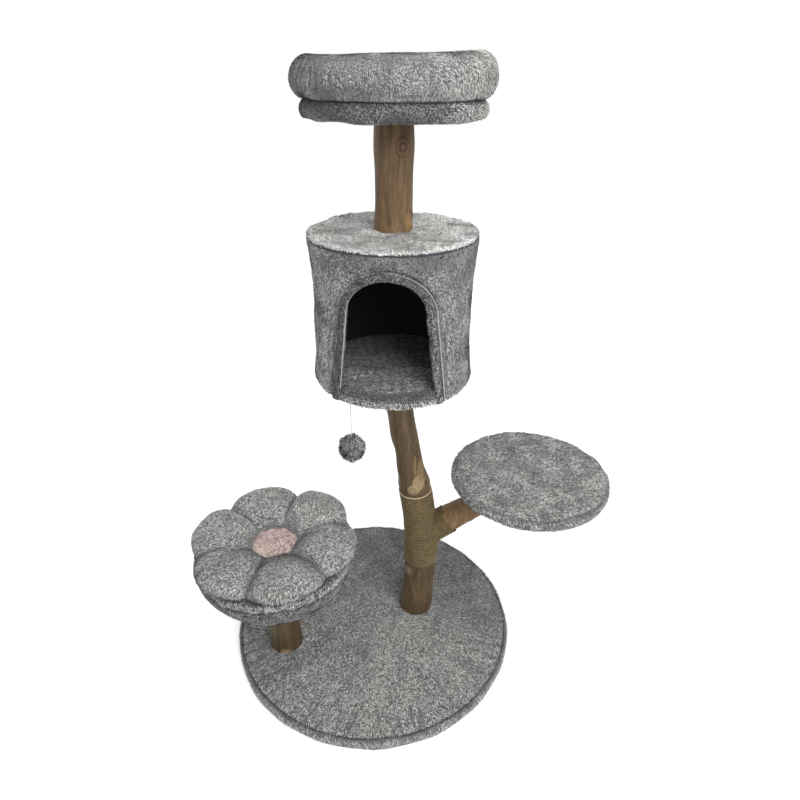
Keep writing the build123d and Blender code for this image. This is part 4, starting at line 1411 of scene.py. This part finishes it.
def wood(name, pale, mid, deep, knots=(), pale_spots=(), ringed=(), seed=0.0):
    """Debarked log: streaks along the grain, hairline cracks, knots, paler sanded places and ringed stubs."""
    s = Shader(name)
    at = place(s)
    bent = s.warped(at, 9.0, 0.018)
    grain = s.noise(s.stretched(bent, (STREAK * 5, STREAK * 5, STREAK * 0.32)), 1.0, 5.0, 0.62)
    fibre = s.noise(s.stretched(bent, (STREAK * 26, STREAK * 26, STREAK * 1.1)), 1.0, 3.0, 0.6)
    blotch = s.noise(s.stretched(bent, (20 + seed, 20, 7)), 1.0, 3.0, 0.6)
    colour = s.ramp(grain, [(0.26, deep), (0.47, mid), (0.7, pale)])
    colour = s.shaded(colour, s.grey_ramp(fibre, [(0.3, 0.74), (0.6, 1.06)]), 0.75)
    blotches = s.ramp(blotch, [(0.3, (0.72, 0.70, 0.66)), (0.55, (1.0, 1.0, 1.0)), (0.75, (1.12, 1.08, 1.0))])
    colour = s.shaded(colour, blotches, 0.9)
    height = s.math("ADD", s.math("MULTIPLY", grain, 0.7), s.math("MULTIPLY", fibre, 0.3))
    for spot, size, shade in pale_spots:
        edge = s.swayed(from_spot(s, at, spot, size), blotch, 0.9)
        mask = s.grey_ramp(edge, [(0.75, 0.85), (1.0, 0.0)])
        colour = s.mix(mask, colour, shade)
    for spot, size in knots:
        far = from_spot(s, at, spot, size)
        rings = s.math("SINE", s.math("MULTIPLY", far, 15.0))
        wobble = s.swayed(far, grain, 0.7)
        mask = s.grey_ramp(wobble, [(0.35, 0.92), (1.0, 0.0)])
        ringed_share = s.math("MULTIPLY", s.math("ADD", rings, 1.0), 0.5)
        colour = s.mix(mask, colour, s.mix(ringed_share, KNOT_DARK, KNOT_LIGHT))
    for spot, size in ringed:
        far = s.swayed(from_spot(s, at, spot, (size, size / 0.4, size)), blotch, 0.25)
        mask = s.grey_ramp(far, [(0.0, 0.35), (0.25, 0.1), (0.6, 0.1), (0.78, 0.75), (0.95, 0.1), (1.0, 0.0)])
        colour = s.mix(mask, colour, STUB_BROWN)
    line = s.noise(s.stretched(bent, (150, 150, 3.0)), 1.0, 2.0, 0.5)
    crack = s.grey_ramp(line, [(0.705, 0.0), (0.73, 0.5)])
    colour = s.mix(crack, colour, CRACK_BROWN)
    height = s.math("SUBTRACT", height, s.math("MULTIPLY", crack, 0.8))
    bump = s.node("Bump", Height=height, Strength=0.55, Distance=0.0015)
    shine = s.grey_ramp(grain, [(0.3, 0.62), (0.7, 0.48)])
    return s.surface(mid, Base_Color=colour, Normal=bump, Roughness=shine, Specular_IOR_Level=0.35)


TAN = ((0.215, 0.136, 0.067), (0.148, 0.089, 0.041), (0.074, 0.043, 0.020))
OLIVE = ((0.158, 0.105, 0.052), (0.096, 0.061, 0.029), (0.048, 0.030, 0.015))
FRESH = ((0.29, 0.180, 0.084), (0.195, 0.113, 0.049), (0.105, 0.060, 0.027))
# the stub's browns, darkened for the tray's shadow over it: partly its own colour, partly painted shade
SHADED_UMBER = ((0.128, 0.088, 0.044), (0.088, 0.059, 0.029), (0.048, 0.031, 0.015))
trunk_wood = wood(
    "trunk_wood", *OLIVE,
    knots=[
        ((0.0699, 0.0057, 0.3966), (0.006, 0.009, 0.005)), ((0.0535, 0.022, 0.530), (0.007, 0.012, 0.010)),
        ((0.0745, 0.012, 0.140), (0.005, 0.009, 0.006)), ((0.1150, 0.006, 0.3760), (0.014, 0.012, 0.005)),
    ],
    pale_spots=[
        ((0.0860, -0.0005, 0.3850), (0.0150, 0.022, 0.0140), (0.285, 0.205, 0.107)),
        ((0.0975, 0.006, 0.3990), (0.0150, 0.022, 0.0200), (0.30, 0.218, 0.116)),
        ((0.1010, 0.012, 0.4250), (0.0080, 0.020, 0.0300), (0.195, 0.135, 0.066)),
        ((0.0890, 0.006, 0.4400), (0.0030, 0.020, 0.0240), (0.185, 0.125, 0.060)),
        ((0.0780, 0.010, 0.1520), (0.0090, 0.014, 0.0150), (0.22, 0.160, 0.098)),
    ],
    ringed=[((0.0845, -0.0010, 0.3830), 0.0085)],
)
post_wood = wood(
    "post_wood", *TAN,
    knots=[
        ((0.0598, 0.0085, 1.0340), (0.0165, 0.022, 0.0190)), ((0.0735, 0.024, 0.9330), (0.004, 0.010, 0.012)),
    ],
    pale_spots=[((0.0700, 0.020, 0.9180), (0.0060, 0.014, 0.0180), (0.235, 0.138, 0.055))],
)
branch_wood = wood("branch_wood", *FRESH, seed=3.0)
stub_wood = wood(
    "stub_wood", *SHADED_UMBER, seed=5.0,
    pale_spots=[((-0.186, -0.111, 0.032), (0.012, 0.01, 0.006), (0.27, 0.185, 0.095))],
)

trunk = wood_log(
    "trunk_log", TRUNK_LINE, seed=201,
    knots=[
        ((0.086, -0.001, 0.383), 0.016, 0.0020), ((0.055, 0.022, 0.530), 0.012, 0.0025),
        ((0.077, 0.010, 0.152), 0.010, 0.0025), ((0.113, 0.010, 0.378), 0.010, 0.0015),
    ],
    dents=[((0.0855, -0.0015, 0.384), (0.05, -0.95, 0.25), 0.0010, 0.016)],
)
dress(trunk, trunk_wood, stands_for=["trunk"])
post = wood_log("upper_post_log", POST_LINE, seed=211, knots=[
    ((0.0600, 0.010, 1.037), 0.012, 0.0018), ((0.0725, 0.023, 0.914), 0.008, 0.0035),
    ((0.0735, 0.027, 0.930), 0.007, 0.0035),
])
dress(post, post_wood, stands_for=["upper_post"])
stub = wood_log("short_post_log", STUB_LINE, seed=221)
dress(stub, stub_wood, stands_for=["short_post"])


def branch_log():
    """The side limb, cut level under the perch."""
    start = FORK * 1000 + BRANCH_WAY * 12
    sizes = ((0, 28.6), (60, 27.6), (120, 26.8), (180, 26.6), (230, 27.0), (300, 27.6))  # millimetres
    rows = [(*(start + BRANCH_WAY * along), r) for along, r in sizes]
    knot = ((0.215, 0.01, 0.345), 0.014, 0.003)
    ob = wood_log("side_branch_log", rows, seed=231, lumps=0.0013, knots=[knot])
    level = (0, 0, perch_foot + 0.0004)
    with edited(ob) as bm:
        whole = bm.verts[:] + bm.edges[:] + bm.faces[:]
        cut = bmesh.ops.bisect_plane(bm, geom=whole, plane_co=level, plane_no=(0, 0, 1), clear_outer=True)
        edge = [e for e in cut["geom_cut"] if isinstance(e, bmesh.types.BMEdge)]
        bmesh.ops.holes_fill(bm, edges=edge)
    return ob


dress(branch_log(), branch_wood, stands_for=["side_branch"])

# ---- rope ----


def twine():
    """Twisted fibre, with painted shade in the grooves between the turns."""
    s = Shader("twine_fibre")
    along = s.node("TexCoord", out=2)
    spun = s.stretched(along, (1.0, 330.0, 1.0))
    slanted = {"bands_direction": "DIAGONAL"}
    twist = s.node("TexWave", settings=slanted, Vector=spun, Scale=0.35, Distortion=1.5)
    fibres = s.noise(s.stretched(place(s), (260, 260, 420)), 1.0, 3.0, 0.7)
    drift = s.noise(place(s), 55.0, 2.0)
    browns = [(0.3, (0.080, 0.055, 0.024)), (0.5, (0.160, 0.114, 0.051)), (0.72, (0.29, 0.212, 0.100))]
    colour = s.shaded(s.ramp(fibres, browns), s.grey_ramp(drift, [(0.3, 0.76), (0.7, 1.08)]), 0.8)
    # painted shade: each turn darker on its sides and on the side that faces the log
    outward = s.math("SINE", s.math("MULTIPLY", s.node("SeparateXYZ", Vector=along), TAU))
    colour = s.shaded(colour, s.grey_ramp(outward, [(0.0, 0.30), (0.85, 1.0)]))
    bump = s.node("Bump", Height=twist, Strength=0.3, Distance=0.0006)
    return s.surface((0.22, 0.165, 0.085), Base_Color=colour, Roughness=0.85, Normal=bump)


twine_material = twine()
TWINE_R = 0.00155
POINTS_A_TURN = 64


def lump(spot):
    """The rope rides over the root of the side branch."""
    away = np.linalg.norm((spot - (0.135, 0.032, 0.262)) * (1, 0.8, 0.6), axis=1)
    return 0.004 * near(away, 0.02)


def winding(name, low, high, pitch, line, seed, tilt=0.0):
    """One twine wound closely round a log, from one height to another."""
    centres, radii = line
    turns = (high - low) / pitch
    t = np.linspace(0, 1, int(turns * POINTS_A_TURN))
    z = low + (high - low) * t
    angle = t * turns * TAU
    *axis, r = (np.interp(z, centres[:, 2], v) for v in (centres[:, 0], centres[:, 1], radii))
    r = r + TWINE_R * 0.95
    spot = around(r, angle, z, axis)
    r = r + 0.0005 * Waves(seed, 0.03)(spot) + lump(spot)
    wander = 0.0006 * Waves(seed + 1, 0.05)(spot) + tilt * np.cos(angle - 0.4)
    path = around(r, angle, z + wander, axis)
    return sweep(name, path, ring_section(TWINE_R * 1.25, TWINE_R, 6), up=around(1, angle, 0))


trunk_line = dense_line(TRUNK_LINE)
rope_low, rope_high = bottom("trunk_rope"), top("trunk_rope")
rope = winding("trunk_twine", rope_low + 0.0012, rope_high - 0.003, 0.0041, trunk_line, 241, tilt=0.0012)
dress(rope, twine_material, stands_for=["trunk_rope"])
ends = (rope_high - 0.0022, rope_high - 0.0004)
last_turn = winding("twine_end_turn", *ends, 0.0017, trunk_line, 245, tilt=0.0022)
dress(last_turn, light_material)


def branch_winding():
    """Twine wound round the root of the branch."""
    side = np.array((0.0, 1.0, 0.0))
    up = np.cross(BRANCH_WAY, side)
    count, turns = 1200, 15
    t = np.linspace(0, 1, count)
    angle = t * turns * TAU
    r = 0.0285 + TWINE_R + 0.0005 * np.sin(angle * 0.37)
    out = np.outer(np.cos(angle), side) + np.outer(np.sin(angle), up)
    path = FORK + np.outer(0.026 + t * 0.046, BRANCH_WAY) + r[:, None] * out
    return sweep("branch_twine", path, ring_section(TWINE_R * 1.02, TWINE_R, 6), up=out)


dress(branch_winding(), twine_material, stands_for=["branch_rope"])

# ---- hanging toy ----
string_low, string_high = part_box("toy_string")
toy_x, toy_y = middle("toy_string").x, middle("toy_string").y
STRING_R = radius("toy_string")
curve = bpy.data.curves.new("toy_cord", "CURVE")
curve.dimensions = "3D"
curve.bevel_depth = STRING_R
curve.bevel_resolution = 3
curve.use_fill_caps = True
line = curve.splines.new("NURBS")
length = string_high.z - string_low.z
heights = [string_high.z - length * k / 5 for k in range(6)]
line.points.add(len(heights) - 1)
for point, z in zip(line.points, heights):
    point.co = (toy_x, toy_y, z, 1)
line.order_u = 3
line.use_endpoint_u = True
cord = link("toy_cord", curve)
curve.materials.append(cord_material)
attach(cord, "toy")
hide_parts("toy_string")

ball_at, ball_r = middle("pompom"), radius("pompom")
ball_at.z = bottom("pompom") + ball_r


def pompom():
    """A trimmed ball of wool: its soft core, under the tufts that stand out of it."""
    ob = link("pompom_core", bpy.data.meshes.new("pompom_core"))
    with edited(ob) as bm:
        bmesh.ops.create_icosphere(bm, subdivisions=4, radius=ball_r * 0.80)
    co = coordinates(ob.data)
    co *= (1 + 0.06 * Waves(252, 0.014)(co))[:, None]
    co[:, 2] *= 1.04
    set_points(ob.data, co + np.array(ball_at))
    soften(ob.data)
    return ob


core = pompom()
plush(core, "pompom_pile", material=pile_shaded, body="toy", every=0.9e-6, length=0.0058, width=0.0010,
      lift=0.85, seed=16, swirl=0.012, stands_for=["pompom"])

# ---- carried-over nodes ----


def use(material, *names):
    for name in names:
        nodes[name].data.materials.clear()
        nodes[name].data.materials.append(material)


use(speckled("particle_board", (0.26, 0.18, 0.10), (0.50, 0.38, 0.25), 260),
    "base_board", "perch_board", "cabin_floor_board", "cabin_roof_board", "bed_board", "flower_board")
use(speckled("fibreboard_tube", (0.24, 0.18, 0.11), (0.36, 0.28, 0.18), 120, stretch=(1, 1, 6)), "cabin_wall")
use(speckled("black_flannel", (0.006, 0.006, 0.009), (0.018, 0.018, 0.026), 420, roughness=0.95),
    "cabin_lining", "ceiling_lining")
use(speckled("needle_felt", (0.03, 0.03, 0.032), (0.075, 0.075, 0.08), 600, roughness=0.95), "base_felt")
use(speckled("zinc_plate", (0.42, 0.42, 0.44), (0.62, 0.62, 0.64), 300, 0.35, bump=0.08, Metallic=1.0),
    "furniture_bolts", "bolt_washers", "threaded_inserts", "wall_screws", "toy_staple", "toy_ring")
use(cord_material, "string_loop")

# ---- floor, light and background ----
FLOOR_GLOW = 0.46  # what the floor adds to its own white, so that it reads as white to the camera
SKY_STRENGTH = 0.74


def seen_directly(tree):
    """1 for rays from the camera and for those that mirror or pass through something."""
    ray = tree.nodes.new("ShaderNodeLightPath")
    total = ray.outputs["Is Camera Ray"]
    for kind in ("Is Glossy Ray", "Is Transmission Ray"):
        larger = tree.nodes.new("ShaderNodeMath")
        larger.operation = "MAXIMUM"
        tree.links.new(total, larger.inputs[0])
        tree.links.new(ray.outputs[kind], larger.inputs[1])
        total = larger.outputs[0]
    return total


def pale_floor():
    """A pale floor that reads as white where no shadow falls on it, and doesn't light the object with it."""
    s = Shader("pale_floor")
    tone = s.noise(place(s), 3.0)
    white = s.grey_ramp(tone, [(0.3, 0.79), (0.7, 0.81)])
    material = s.surface((0.80, 0.80, 0.80), Base_Color=white, Roughness=0.95)
    glow = s.tree.nodes.new("ShaderNodeEmission")
    strength = s.math("MULTIPLY", seen_directly(s.tree), FLOOR_GLOW)
    s.tree.links.new(strength, glow.inputs["Strength"])
    both = s.tree.nodes.new("ShaderNodeAddShader")
    principled = s.output.inputs[0].links[0].from_socket
    s.tree.links.new(principled, both.inputs[0])
    s.tree.links.new(glow.outputs[0], both.inputs[1])
    s.tree.links.new(both.outputs[0], s.output.inputs[0])
    return material


bpy.ops.mesh.primitive_plane_add(size=14)
floor = bpy.context.object
floor.name = "floor"
floor.data.materials.append(pale_floor())


def lamp(name, energy, size, at, towards, colour=(1, 1, 1)):
    """A square soft light."""
    data = bpy.data.lights.new(name, "AREA")
    data.energy, data.size, data.color = energy, size, colour
    ob = link(name, data)
    ob.location = at
    ob.rotation_euler = (Vector(towards) - Vector(at)).to_track_quat("-Z", "Y").to_euler()


lamp("key", energy=46, size=1.5, at=(1.0, -1.6, 2.2), towards=(0.0, 0.0, 0.8))
lamp("ceiling", energy=9, size=1.2, at=(0.0, -0.5, 2.8), towards=(0.0, 0.0, 0.5), colour=(1.0, 0.995, 0.98))


def studio():
    """Soft light from all round, on a background that is white to the camera."""
    world = bpy.data.worlds.new("studio")
    bpy.context.scene.world = world
    world.use_nodes = True
    tree = world.node_tree
    tree.nodes.clear()
    soft, pale = tree.nodes.new("ShaderNodeBackground"), tree.nodes.new("ShaderNodeBackground")
    blend = tree.nodes.new("ShaderNodeMixShader")
    soft.inputs[0].default_value = (0.98, 0.99, 1.0, 1)
    soft.inputs[1].default_value = SKY_STRENGTH
    pale.inputs[0].default_value = (1, 1, 1, 1)
    tree.links.new(seen_directly(tree), blend.inputs[0])
    tree.links.new(soft.outputs[0], blend.inputs[1])
    tree.links.new(pale.outputs[0], blend.inputs[2])
    tree.links.new(blend.outputs[0], tree.nodes.new("ShaderNodeOutputWorld").inputs[0])


studio()
bpy.context.scene.view_settings.view_transform = "Standard"
